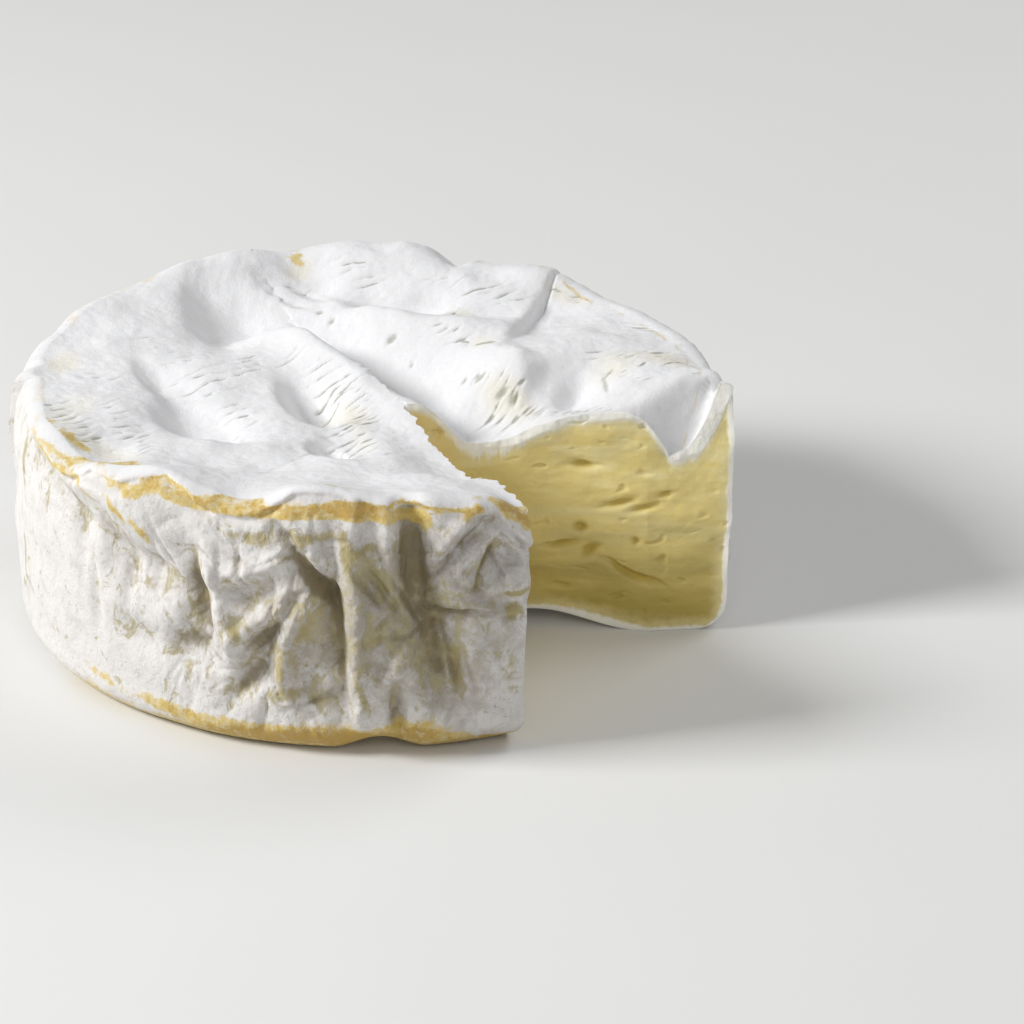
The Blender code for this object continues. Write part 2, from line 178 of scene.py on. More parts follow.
# On the wall a form's place is (turn in degrees, height), and its height is radial.
WALL_FORMS = forms(
    # where the wheel is a little flat, and where its shoulder draws in
    (-140, 14, 42, 40, 20, 0, -1.1),
    (-173, 38, 12, 6, 4, 0, -1.2),
    (-3, 39.5, 5, 3, 2.4, 0, 1.8),
    (-3, 30, 4, 9, 8, 0, 0.8),
    # the flap under the rim, with the recess below it
    (-146, 38, 12, 4, 3, -8, 1.2),
    (-133, 36, 7, 4, 3, -25, 1.7),
    (-125, 33.5, 6, 3, 3.5, -28, 1.7),
    (-146, 31.5, 13, 2.6, 5, -14, -1.9),
    (-128, 25.5, 7, 2.2, 4.5, -22, -2),
    (-122.5, 24.5, 4, 3, 3, 10, -1.7),
    # lumps and grooves of the left part
    (-136, 27, 4.5, 2.6, 2.6, 90, 1),
    (-141, 26, 4, 1, 1.6, -70, -1),
    (-137, 19, 6, 1.2, 1.2, -84, -0.9),
    (-129.5, 22, 4, 1.3, 1.3, -88, -1),
    (-127, 14, 4, 2.5, 2.5, -20, -1.2),
    (-118, 14.5, 4.5, 3, 3, 20, -1.9),
    (178, 29, 10, 3, 4, 0, 0.9),
    (176, 20, 14, 2.5, 2.5, 0, -1.2),
    # the brown fold and the ridge beside it
    (-115, 23, 6.5, 1, 3, -80, -2.6),
    (-111.5, 23, 8, 1.6, 1.2, -78, 1.4),
    # crumpled middle
    (-106.5, 29.5, 6.5, 1.2, 2.2, 14, 1.3),
    (-108, 25, 5, 1.8, 1.6, 6, -1.7),
    (-104.5, 22, 6.5, 1.5, 1.5, 38, 1.4),
    (-105.5, 17.5, 3.4, 2.2, 2, 30, -2.3),
    (-106.5, 12, 5.5, 1.8, 1.8, 48, -1.9),
    (-109.5, 16.5, 3.5, 2, 2, 70, 1),
    (-99.3, 20.5, 4.5, 1.5, 1.5, 62, 1.6),
    (-101.5, 14, 5.5, 1.3, 1.5, -84, 1.7),
    (-98, 13, 5, 3, 3, -80, -1.3),
    (-97, 31, 6, 3, 2.4, -52, 1),
    # the slanting crack, then the upright groove and its bright ridge
    (-98.5, 30, 7.5, 0.6, 1.6, -56, -2.2),
    (-94, 25.5, 3, 0.7, 1.8, -45, -1.9),
    (-92.8, 17.5, 11.5, 1, 2.8, -86, -2.9),
    (-90.3, 30, 9, 1.3, 1.6, -88, 1.6),
    (-90, 15, 9.5, 1.4, 1.8, -88, 1.9),
    (-88, 31, 5, 1.6, 1.6, -62, -1.3),
    (-86.8, 26, 4.5, 0.7, 1.3, -52, -1.7),
    (-84.8, 33, 5.5, 1.2, 1.6, -86, 1.7),
    # the wide dark fold
    (-81.6, 32.5, 8.5, 2.4, 2.6, -84, -3),
    (-79.3, 23.5, 8, 2.2, 3.2, -74, -3),
    (-77.6, 15, 5, 1.6, 3, -78, -2.6),
    (-84, 14.5, 6.5, 1.3, 1.3, 62, 1.6),
    (-84, 5, 5, 1.2, 1.2, -88, -2.2),
    (-79, 6.5, 4, 3, 3, 0, 1.2),
    # creases and lumps by the near cut
    (-74, 32.5, 6.5, 1.5, 0.8, 46, -1.7),
    (-76, 33.5, 6.5, 1.2, 1.2, 48, 1.2),
    (-69.6, 29.5, 5.5, 1.2, 1.2, 66, -2),
    (-65.5, 34.5, 2.6, 2.2, 2.2, 0, 1.6),
    (-66.3, 31.4, 1.8, 1.2, 1.2, 0, -1.6),
    (-65.5, 28, 3.2, 2.6, 2.6, 60, 1.6),
    (-67, 24.5, 3, 1.4, 1.4, 10, -1.2),
    (-75.5, 22.3, 3.4, 1, 1, 0, -1.2),
    (-74.3, 13, 4.5, 0.9, 1.2, -86, -1.4),
    (-69, 17, 8, 4, 4, 84, 1),
    (-64, 4, 4, 3, 3, 0, 1.4),
)

BACK_FOLDS = 64
BACK_TURNS = (-2.0, 176.0)
BACK_SEED = 11

HOLLOWS = 7
HOLLOW_SEED = 5
HOLLOW_TURNS = (35, 270)
NOTCH_ARCH = Form(24, -3, 10, 7, 7, -4, 3.2)
FOOT_NOTCH = Form(3, -50, 5, 5, 5, 0, 2.4)

LUMPS = ((9.0, 0.45, 1), (4.5, 0.28, 2))    # (size, height, seed) of the general unevenness
LATTICE = (32, 32, 32)      # random values that the noises repeat after

# Thin creases of the wall, in the same measure as its forms
WALL_CREASES = forms(
    (-73.2, 32.6, 6.5, 0.35, 0.4, 46, -0.7),
    (-74.4, 33, 6, 0.4, 0.35, 46, 0.5),
    (-72.2, 31.6, 5.5, 0.35, 0.4, 48, 0.4),
    (-68.3, 29.5, 3.8, 0.35, 0.5, -70, -0.7),
    (-66.4, 32.4, 2.6, 0.35, 0.5, -40, -0.6),
    (-71.5, 25.6, 3, 0.4, 0.5, -30, -0.5),
    (-73.5, 22.3, 5, 0.35, 0.5, 4, -0.6),
    (-66, 22, 2.4, 0.4, 0.5, 10, -0.5),
    (-75.6, 16, 4, 0.35, 0.5, -78, -0.7),
    (-72.6, 13.6, 3.5, 0.5, 0.4, -70, -0.6),
    (-70.4, 17.8, 3.5, 0.4, 0.6, 60, -0.4),
    (-67, 12, 5, 0.4, 0.6, -84, -0.4),
    (-79.6, 27.5, 5, 0.35, 0.5, -84, -0.6),
    (-82.6, 24, 4, 0.35, 0.5, -60, -0.6),
    (-83.6, 19, 4.5, 0.4, 0.5, 12, -0.5),
    (-87, 20.5, 3.5, 0.35, 0.5, 40, -0.5),
    (-88.4, 26, 4, 0.35, 0.5, -56, -0.6),
    (-91.6, 33, 4, 0.35, 0.5, 4, -0.5),
    (-96.5, 26, 4, 0.35, 0.5, -52, -0.6),
    (-99.5, 24.5, 3.5, 0.35, 0.5, 20, -0.5),
    (-102.5, 30.5, 4.5, 0.35, 0.5, 8, -0.5),
    (-103, 19.5, 4, 0.35, 0.5, 52, -0.6),
    (-108, 29, 4, 0.35, 0.5, -80, -0.6),
    (-111.5, 17, 4, 0.35, 0.5, -50, -0.6),
    (-112.6, 29.5, 3.5, 0.35, 0.5, -30, -0.5),
    (-97, 8.5, 4, 0.4, 0.5, 20, -0.5),
    (-121, 29, 4, 0.35, 0.5, -70, -0.4),
)

# Places where the wall is left smooth, and where its skin is crumpled most
CALM = forms(
    (-150, 13, 20, 12, 12, 0, 1),
    (-70, 14, 7, 8, 10, 0, 0.8),
)
CRUMPLED = forms(
    (-100, 20, 24, 16, 18, 0, 1),
    (-74, 26, 9, 10, 12, 0, 0.6),
)
CREASES = ((6.0, 0.9, 73), (3.0, 0.55, 74), (1.6, 0.26, 75))    # (size, height of the puffs, seed)
CREASE_STRETCH = 1.6        # the creases run upright
CRUMPLE = 0.22              # strength of the crumpling where no zone adds to it
LEAST_CRUMPLE = 0.10
PUFF_POWER = 0.62           # under 1 for round puffs with sharp creases between them
CREASE_WIDTH = 0.07         # share of the noise that counts as crease
DOWN = ((0.10, 2.6, 51), (0.06, 1.2, 52))   # (height, size, seed) of the top's soft down

# (distance along the cut, height, along, above, below, turn, depth) of the holes in the paste
FAR_HOLES = forms(
    (27, 25.5, 2.2, 0.5, 0.5, -2, 1.1),
    (32.2, 19.6, 2.2, 0.7, 0.6, 10, 1),
    (35.8, 18.9, 2.2, 0.55, 0.5, 12, 0.9),
    (38.8, 20.8, 1.5, 0.4, 0.4, 15, 0.8),
    (26.5, 15.6, 1.1, 0.9, 0.7, 0, 1.2),
    (23.7, 13.2, 2.5, 0.4, 0.45, 10, 1),
    (28.1, 12.3, 1.5, 0.9, 0.5, 30, 1.2),
    (34.7, 13.9, 0.8, 0.5, 0.5, 0, 0.8),
    (34, 9.1, 4.4, 0.4, 0.55, -25, 1.2),
    (23.6, 6.9, 1.3, 0.4, 0.4, 0, 0.6),
    (31.8, 5.4, 1.1, 0.4, 0.4, 10, 0.6),
    (5.3, 30.4, 1.1, 0.9, 0.8, 50, 0.7),
)
NEAR_HOLES = forms(
    (14, 24, 2.6, 0.8, 0.8, 4, 1.2),
    (30, 19, 3.2, 1, 0.9, -8, 1.3),
    (22, 10.5, 3.6, 0.8, 0.8, 6, 1.5),
    (38, 27, 2, 0.7, 0.7, 0, 1),
    (10, 14, 1.8, 1.2, 1, 20, 1.5),
)

# Golden stains of the wall. Their height is the strength of the colour.
WALL_STAINS = forms(
    # the border of the flap, and the band under the rim
    (-152, 35.4, 8, 0.8, 1.1, -2, 0.9),
    (-143, 35.8, 4, 1, 1.2, 0, 0.8),
    (-136.5, 34.6, 4, 0.7, 0.9, -30, 0.7),
    (-130, 37.4, 6, 0.7, 0.9, -6, 0.65),
    (-125, 37.6, 2.4, 1.2, 1.1, 20, 0.8),
    (-119, 37.4, 5, 1, 1, -10, 0.9),
    (-112, 36.8, 6, 0.9, 1, -2, 1),
    (-103.5, 37.4, 5, 0.9, 1, 8, 1.1),
    (-96, 38, 6, 0.9, 1.1, 4, 1.2),
    (-90, 38.2, 4, 1, 1.2, -4, 1.4),
    (-84, 37, 5, 0.8, 1, -12, 0.9),
    (-79.5, 36.4, 2.5, 1.2, 2.2, -70, 0.8),
    (-72.5, 37.2, 2.5, 1, 1.6, 30, 0.8),
    (-66, 36.4, 3.5, 0.9, 1.2, -28, 1.2),
    (-63.5, 34.2, 2, 1, 1, -40, 1),
    (-129, 33.8, 3.5, 1.1, 1, -50, 0.9),
    (-124.5, 31.5, 3.5, 1.2, 1, -60, 0.8),
    # round the foot
    (-137, 5, 5, 1.3, 1.3, -6, 0.6),
    (-124, 4.2, 6, 1.5, 1.4, -4, 0.8),
    (-112, 3.2, 8, 1.6, 2, -2, 1.1),
    (-99, 3, 8, 1.9, 2, 0, 1.3),
    (-90, 3, 5, 1.6, 2, 0, 0.9),
    (-81, 4.4, 5, 2.2, 2.4, 0, 1.2),
    (-69, 1.4, 7, 1, 1.6, 0, 0.8),
)

# Khaki blots where the wall's mould is worn, of the same kind
WALL_BLOTS = forms(
    # the middle
    (-105.5, 33.2, 4, 1.4, 1.2, 4, 0.7),
    (-99.4, 33.6, 3.2, 1, 0.8, -60, 0.9),
    (-96.2, 34.4, 3.6, 0.9, 0.9, 6, 0.8),
    (-91.8, 32.4, 4, 0.9, 0.9, -86, 0.9),
    (-88.6, 32.6, 3, 1, 1, 10, 0.7),
    (-86.6, 27.5, 4, 1, 1.4, -60, 0.7),
    (-114.4, 24, 6, 0.9, 1.2, -80, 0.8),
    (-109, 18.5, 2.2, 1.2, 1.2, -70, 0.7),
    (-98.4, 19.4, 3.6, 1, 1, 60, 0.7),
    (-102.2, 14, 3.6, 1, 1, -84, 0.8),
    (-101, 9.6, 3.5, 1.2, 1.2, 10, 0.7),
    (-89.6, 11, 4, 0.8, 0.8, -70, 0.8),
    (-88.6, 18.6, 3.2, 1, 1, 4, 0.6),
    (-74.2, 13, 3.6, 0.7, 0.9, -84, 0.9),
    (-76, 16.4, 3, 1, 1, 10, 0.6),
    # by the near cut
    (-70.5, 29, 4, 0.9, 0.9, 66, 0.7),
    (-65.6, 24.6, 2.2, 0.8, 0.8, 8, 1.1),
    (-65.4, 21.4, 1.6, 1.3, 1.3, 0, 1.1),
    (-65.6, 14, 1.6, 1.6, 1.6, 80, 0.6),
    # the left
    (-162, 31, 5, 1, 1, -88, 0.9),
    (-163, 14, 5, 0.9, 0.9, -86, 0.8),
    (-137.2, 19.5, 4.5, 0.8, 0.8, -84, 0.5),
    (-129.4, 23.6, 3.4, 0.9, 0.9, -60, 0.5),
)

# Folds whose bottoms are painted dark brown: partly the skin's own colour, partly painted shade
BROWN_AND_SHADED_FOLDS = forms(
    (-81.4, 31.5, 7, 1.7, 2, -84, 1.2),
    (-78.8, 20, 9, 0.8, 1.2, -74, 1.1),
    (-92.6, 17, 11, 0.5, 0.7, -86, 1),
    (-115.4, 23, 6, 0.8, 1.6, -80, 0.8),
    (-98.5, 30, 7, 0.5, 0.9, -56, 1),
    (-94, 25, 3, 0.5, 1, -45, 0.9),
    (-86.8, 26, 4, 0.5, 0.8, -52, 0.6),
    (-69.8, 29.5, 5, 0.7, 0.9, 66, 0.6),
    (-84, 5, 5, 0.9, 0.9, -88, 0.9),
    (-105.5, 17.5, 3, 1.4, 1.4, 30, 0.7),
    (-118, 15, 4, 1.6, 1.6, 20, 0.5),
    (-106.5, 12, 5, 1, 1, 48, 0.6),
    (-74.4, 13, 4, 0.6, 0.8, -86, 0.6),
)

# Where the wall's mould is grey rather than white, and, on the wall's front and right, where painted
# shade darkens it
GREY_AND_SHADE_ZONES = forms(
    (-99, 20, 15, 15, 17, 0, 0.6),
    (-74, 20, 11, 18, 20, 0, 0.75),
    (-87, 24, 9, 12, 14, 0, 0.5),
    (-140, 31, 14, 4, 5, -14, 0.4),
    # the back
    (20, 18, 16, 14, 16, 0, 0.5),
    (72, 22, 18, 12, 14, 0, 0.55),
    (120, 14, 16, 12, 12, 0, 0.4),
)

# Ochre stains on the top near the rim
TOP_STAINS = forms(
    (-28.5, 44.5, 4.5, 2, 2, 34, 0.9),
    (-46.5, 25.5, 7, 1.6, 1.6, 58, 0.9),
    (-50.5, 5, 6, 2, 1.6, 86, 0.5),
    (-46, -20, 6, 2, 2, -64, 0.6),
    (-41, -27, 3.5, 2, 1.6, -40, 0.9),
    (-34, -36.5, 4.5, 3, 2, -30, 1),
    (-13, 47, 2, 1.6, 1.6, 0, 0.8),
    (-6, 51, 8, 1, 1.4, 0, 0.5),
    (52.6, -1, 3, 1.2, 1.2, 90, 0.9),
    (-2, -48, 14, 1, 1.6, 4, 0.5),
)

# Dark green-grey spots of the top
TOP_SPOTS = forms(
    (-11.9, 34.6, 1, 0.5, 0.5, 10, 0.8),
    (-8.6, 32.2, 0.7, 0.6, 0.6, 0, 1.1),
    (-6.6, 29.6, 0.8, 0.5, 0.5, 60, 1),
    (2.9, 21.6, 1, 0.7, 0.7, 20, 1.2),
    (-2, 24, 1.2, 0.5, 0.5, 40, 0.4),
    (6.1, 16.4, 0.6, 0.4, 0.4, 70, 0.8),
    (14.3, 8.3, 0.9, 0.5, 0.5, 70, 0.8),
    (16.6, 6.6, 1.1, 0.7, 0.7, 30, 1.1),
    (19.8, 2.1, 1, 0.6, 0.6, 30, 1),
    (21.6, 0.7, 1, 0.6, 0.6, 60, 0.9),
    (-7.5, 0.5, 0.7, 0.5, 0.5, 0, 1),
    (-17, 9.5, 0.5, 0.4, 0.4, 0, 0.7),
    (-43, 1, 0.8, 0.5, 0.5, 0, 0.6),
    (43.1, -4, 0.9, 0.6, 0.6, 20, 0.5),
    (35.5, 3, 3, 0.35, 0.35, -84, 0.9),
    # green-grey freckles in patches
    (-46, 6, 3.5, 2, 2, 80, 0.42),
    (-45, -14, 5, 2.5, 2.5, 70, 0.36),
    (-36, -27, 5, 2, 2, -40, 0.38),
    (37, 6, 4, 3.5, 3.5, 0, 0.30),
    (45, 9, 3.5, 2, 2, -50, 0.40),
    (21, 2, 5, 2, 2, -50, 0.36),
    (-2, -8, 5, 2, 2, -66, 0.32),
    (30, 37, 4, 1.5, 1.5, -30, 0.34),
)

# Crisp dents of the top. Their floors are flatter than the forms', and their brinks sharper.
DENTS = forms(
    (-24, 30, 10, 5.5, 5.5, -81, -0.7),
    (-33, 3.5, 5, 2.5, 2, -70, -0.3),
    (-24.8, -12.5, 7.5, 5.5, 5.5, -60, -0.8),
    (-8.2, -2.2, 8.5, 3.4, 4.6, -72, -1.4),
    (-5, -22.5, 5, 2.6, 2.8, -66, -1.5),
    (26.5, 36, 7, 0.35, 0.5, 74, -0.7),
    (27.6, 3.6, 6, 3.6, 4.6, 60, -1.1),
    (-13, 38, 7, 3.4, 3, -38, -1.1),
    (3, 33, 7, 3, 2.4, -8, -0.9),
    # the crease of the fold at the rim
    (46.5, -1.5, 6.5, 0.45, 3, 40, -1.3),
)
DENT_POWER = 2.6

# Heights of the seam under the rim and of the stain round the foot, as (turn, height)
RIM_LINE = ((-180, 38), (-150, 37.5), (-142, 37.3), (-136, 38.6), (-129, 38.1), (-122, 39.4),
            (-116, 38), (-108, 38), (-98, 39), (-92, 39.4), (-81, 38.6), (-66, 36.8), (-63, 34.6),
            (-3, 38.5), (40, 38.2), (100, 38.6), (150, 38.2), (180, 38))
FOOT_LINE = ((-180, 0.3), (-150, 0.8), (-139, 2.6), (-130, 1.8), (-120, 2.2), (-108, 3.2),
             (-98, 5.0), (-92, 5.2), (-88, 3.2), (-84, 3.4), (-81, 5.4), (-76, 4.4), (-70, 2.0),
             (-63, 1.4), (-3, 1.0), (60, 2.4), (120, 1.4), (180, 0.3))
RIM_STAIN_FADE = 90       # how fast the stain of each ends on the top and on the underside,
FOOT_STAIN_FADE = 26      # in millimetres of height for a whole reach
WALL_FADE = 1.5    # height over which the wall's finish passes into the top's and the base's
SEAM_STRENGTH = ((-180, 0.2), (-160, 0.3), (-146, 1), (-60, 1), (-4, 0.3), (25, 0.7), (110, 0.7),
                 (140, 0.25), (180, 0.2))
SEAM_LIP = 0.35
SEAM_GROOVE = 0.8

# The skin torn out over the cuts
TEARS = {1: 0.16, -1: 0.8}  # by side: the far cut was the cleaner one
TEAR_DEPTH = 0.6
RIND_THICKNESS = 1.3
FACE_BORDER = 0.9           # the holes fade out this near a cut's border
FAR_OFF = 20                # a distance at which no border's finish shows

# The marks of the straw mat: rows of strokes from (x, y) to (end_x, end_y), with the mean
# length and direction of their strokes
Comb = namedtuple("Comb", "x y end_x end_y strokes length turn")
COMBS = tuple(Comb(*row) for row in (
    # the left of the top
    (-29, 11, -22.5, -1.5, 6, 9, 32),
    (-20, 12, -17, 6, 4, 4, 34),
    (-37, 18, -34, 16, 2, 4, 26),
    (-33, 13, -30, 12, 2, 3, 30),
    (-13, 13, -12, 9.5, 2, 7, 35),
    (-38, -10, -34, -23, 8, 3.4, 36),
    (-33.5, -18, -30, -29, 7, 3, 40),
    (-46, -11, -39, -26, 9, 4.2, 40),
    (-43, -18, -36, -27, 6, 2.4, 30),
    (-20, -5, -17, -12, 4, 4.2, 26),
    (-20, -13, -16, -21, 3, 3.4, 28),
    (-13, -33, -8, -25, 4, 4.5, 40),
    (-44, 4, -38, 0, 4, 2.5, 30),
    # the crest that the cuts meet on
    (-8, 9, -4, -1, 7, 5, 12),
    (-7, 3, -2, -15, 11, 5.5, 36),
    (-2, 2, 1, -12, 8, 3, 30),
    (-4, -17, 0, -27, 6, 5, 44),
    (0, -14, 3, -26, 6, 3.4, 30),
    # the back
    (-6, 47, 0, 40, 5, 4.6, 12),
    (8, 41, 13, 39, 3, 2.6, 24),
    (16, 38, 22, 34, 4, 5.6, 30),
    (12, 33, 15, 27, 5, 2.6, 64),
    (28, 39, 33, 35, 5, 3, 4),
    (-15, 41, -11, 40, 2, 3, 30),
    # the second ridge and its flank
    (9, 23, 14, 18, 4, 2.8, 8),
    (14, 18, 19, 14, 5, 2.8, -30),
    (13, 9, 24, 1, 8, 2.4, 62),
    (17, -1, 27, -3, 8, 4.6, 50),
    (27, -3, 36, -5, 7, 3.4, 34),
    # the back plateau
    (33, 13, 38, 9, 3, 5, 14),
    (35, 7, 41, 1, 7, 3, 22),
    (37, 12, 42, 6, 4, 2.4, 40),
    (42, 14, 47, 5, 6, 3.6, 30),
    (39, 28, 43, 23, 4, 2.4, -20),
    (49, 3, 51, -1, 3, 2, 10),
))
COMB_SEED = 17
STROKE_WIDTH = 0.23
STROKE_DEPTH = 0.22
SPOT_DEPTH = 0.3

# Where the top's mould is creamy
CREAM_ZONES = forms(
    (-3, -7, 8, 3.5, 3, -66, 1),
    (0, -19, 6, 3, 3, -66, 0.6),
    (37, 8, 5, 6, 6, 0, 0.9),
    (45, 9, 5, 3, 3, -50, 1.1),
    (30, 37, 6, 2, 2, -30, 0.9),
    (13, 30, 3, 3, 3, -34, 0.9),
    (21, 1, 7, 3, 4, -50, 1.1),
    (-43, -14, 9, 4, 4, 70, 0.8),
    (-36, -28, 10, 3, 4, -40, 0.9),
    (17, 16, 3, 2, 2, -30, 0.9),
    (-12.5, 45, 3, 2, 2, 50, 1.3),
    (-40, 34, 9, 2, 3, 45, 0.5),
    (-46, 6, 5, 3, 3, 80, 1.1),
    (32, -5, 5, 2, 2, 0, 0.5),
)

# Where the knife dragged teeth of rind down over the paste, by distance along the cut
FAR_TEETH = forms(
    (12, 0, 6, 6, 6, 0, 1),
    (45, 0, 4, 4, 4, 0, 0.3),
)
NEAR_TEETH = forms(
    (22, 0, 14, 6, 6, 0, 0.7),
)


def relief(forms, x, y, x_scale=1.0, power=FORM_POWER):
    """Sum of the forms at the points (x, y). x_scale turns the forms' own x into millimetres."""
    total = np.zeros(np.shape(x))
    for form in forms:
        turn = math.radians(form.turn)
        east = (x - form.x) * x_scale
        north = y - form.y
        ahead = east * math.cos(turn) + north * math.sin(turn)
        aside = north * math.cos(turn) - east * math.sin(turn)
        width = np.where(aside > 0, form.left, form.right)
        far = (ahead / form.along) ** 2 + (aside / width) ** 2
        total += form.height * np.exp(-(far ** power))
    return total


def mixed(points, ease, worth):
    """The mean of what the corners of each point's cell are worth, weighted by nearness."""
    cell = np.floor(points).astype(int)
    part = points - cell
    soft = ease(part)
    total = np.zeros(len(points))
    for corner in np.ndindex(2, 2, 2):
        share = np.prod(np.where(corner, soft, 1 - soft), axis=1)
        total += share * worth(tuple(((cell + corner) % LATTICE).T), part - corner)
    return total


def cloud(points, size, seed):
    """Smooth noise between -1 and 1 with lumps of this size, at (n, 3) points."""
    lattice = np.random.default_rng(seed).uniform(-1, 1, LATTICE)
    return mixed(points / size, lambda part: part * part * (3 - 2 * part),
                 lambda corner, _: lattice[corner])


def lumps(x, y, z):
    """The general unevenness that the solid has too."""
    points = np.stack([x, y, z], axis=-1).reshape(-1, 3)
    total = sum(height * cloud(points, size, seed) for size, height, seed in LUMPS)
    return total.reshape(np.shape(x))


@lru_cache(maxsize=None)
def leanings(seed):
    """The directions that swirl's noise leans in, over a lattice that repeats."""
    made = np.random.default_rng(seed).normal(size=(*LATTICE, 3))
    return made / np.linalg.norm(made, axis=-1, keepdims=True)


def swirl(x, y, z, size, seed):
    """Noise from about -1 to 1 that is 0 along winding lines, with features of this size."""
    x, y, z = np.broadcast_arrays(x, y, z)
    total = mixed(np.stack([x, y, z], axis=-1).reshape(-1, 3) / size,
                  lambda part: part ** 3 * (part * (part * 6 - 15) + 10),
                  lambda corner, away: np.sum(leanings(seed)[corner] * away, axis=1))
    return 1.7 * total.reshape(np.shape(x))


@lru_cache(maxsize=None)
def strokes():
    """Every stroke of the mat's marks as a form, of uneven length, direction and depth."""
    draw = Random(COMB_SEED)
    made = []
    for comb in COMBS:
        for i in range(comb.strokes):
            share = (i + 0.5 + draw.uniform(-0.25, 0.25)) / comb.strokes
            made.append(Form(between(comb.x, comb.end_x, share) + draw.uniform(-0.8, 0.8),
                             between(comb.y, comb.end_y, share) + draw.uniform(-0.3, 0.3),
                             0.62 * comb.length * draw.uniform(0.65, 1.25),
                             STROKE_WIDTH, STROKE_WIDTH * draw.uniform(1.0, 1.5),
                             comb.turn + draw.gauss(0, 7), draw.uniform(0.55, 1.1)))
    return tuple(made)


def pressed(x, y):
    """From 0 to 1, how deep each point lies in a stroke."""
    sway_x = 0.5 * swirl(x, y, 0 * x, 4.0, 53)
    sway_y = 0.7 * swirl(x, y, 0 * x, 5.5, 54)
    broken = np.clip(0.9 + 1.1 * swirl(x, y, 0 * x, 1.8, 55), 0.3, 1)
    return np.clip(relief(strokes(), x + sway_x, y + sway_y), 0, 1) * broken


def top_height(x, y):
    away = np.clip(np.hypot(x, y) / WHEEL_RADIUS, 0, 1)
    down = sum(height * swirl(x, y, 0 * x, size, seed) for height, size, seed in DOWN)
    return (MIDDLE_HEIGHT + RIM_RISE * away ** SAG_POWER + relief(TOP_FORMS, x, y)
            + relief(DENTS, x, y, power=DENT_POWER) + lumps(x, y, 0 * x) + down
            - STROKE_DEPTH * pressed(x, y) - relief(TOP_SPOTS, x, y) * SPOT_DEPTH)


@lru_cache(maxsize=None)
def hollow_forms():
    draw = Random(HOLLOW_SEED)
    hollows = [NOTCH_ARCH, FOOT_NOTCH]
    for i in range(HOLLOWS):
        turn = between(*HOLLOW_TURNS, (i + draw.uniform(0.1, 0.9)) / HOLLOWS)
        away = WHEEL_RADIUS * draw.uniform(0.42, 0.72)
        size = draw.uniform(4, 8)
        hollows.append(Form(away * math.cos(math.radians(turn)),
                            away * math.sin(math.radians(turn)),
                            size * draw.uniform(1.1, 1.8), size, size,
                            turn + draw.uniform(40, 140), draw.uniform(0.9, 2.2)))
    return tuple(hollows)


def underside_height(x, y):
    return np.maximum(relief(hollow_forms(), x, y) - CONTACT_LIFT, 0)


@lru_cache(maxsize=None)
def back_folds():
    draw = Random(BACK_SEED)
    folds = []
    for _ in range(BACK_FOLDS):
        folds.append(Form(draw.uniform(*BACK_TURNS), draw.uniform(5, 35), draw.uniform(3, 9),
                          draw.uniform(0.9, 3), draw.uniform(0.9, 3), draw.gauss(90, 28),
                          draw.choice((-1.5, -1.1, 0.8, 1.1))))
    return tuple(folds)


def seen(turn):
    """The same turn, from -180 to 180."""
    return (turn + 180) % 360 - 180


def by_turn(line, turn):
    """The value at each turn of a line that is given as (turn, value)."""
    return np.interp(seen(turn), *zip(*line))


def on_wall(forms, turn, z):
    """Sum of forms whose x is a turn and whose y is a height."""
    return relief(forms, seen(turn), z, ARC)


def around(turn, radius=WHEEL_RADIUS):
    return radius * np.cos(np.radians(turn)), radius * np.sin(np.radians(turn))


def rim_line(turn):
    """Height of the seam between the top's skin and the wall's."""
    return by_turn(RIM_LINE, turn) + 0.5 * swirl(*around(turn), 0, 7.0, 61)


def crumple(turn, z):
    """Puffed skin between creases. Returns its height, and how much each point is crease."""
    strength = np.clip(CRUMPLE + on_wall(CRUMPLED, turn, z) - on_wall(CALM, turn, z),
                       LEAST_CRUMPLE, 1)
    x, y = around(turn)
    sway = 2.4 * swirl(x, y, z / CREASE_STRETCH, 8.0, 71)
    height, crease = 0 * z, 0 * z
    for size, puff, seed in CREASES:
        field = np.abs(swirl(x + sway, y - sway, (z + sway) / CREASE_STRETCH, size, seed))
        height = height + puff * (field ** PUFF_POWER - 0.5)
        crease = np.maximum(crease, np.exp(-field / CREASE_WIDTH) * min(1, puff / 0.5))
    height = height + 0.10 * swirl(x, y, z / 1.3, 1.5, 72)
    return strength * height, strength * crease


def seam(turn, z):
    """The rolled edge of the top's skin, and the groove under it."""
    below = rim_line(turn) - z
    ragged = swirl(*around(turn), z / 3, 2.2, 62)
    lip = SEAM_LIP * (1 + ragged) * np.exp(-((below + 0.5) / 0.8) ** 2)
    groove = SEAM_GROOVE * (1 + 0.6 * ragged) * np.exp(-((below - 1.1) / 0.7) ** 2)
    return by_turn(SEAM_STRENGTH, turn) * (lip - groove)


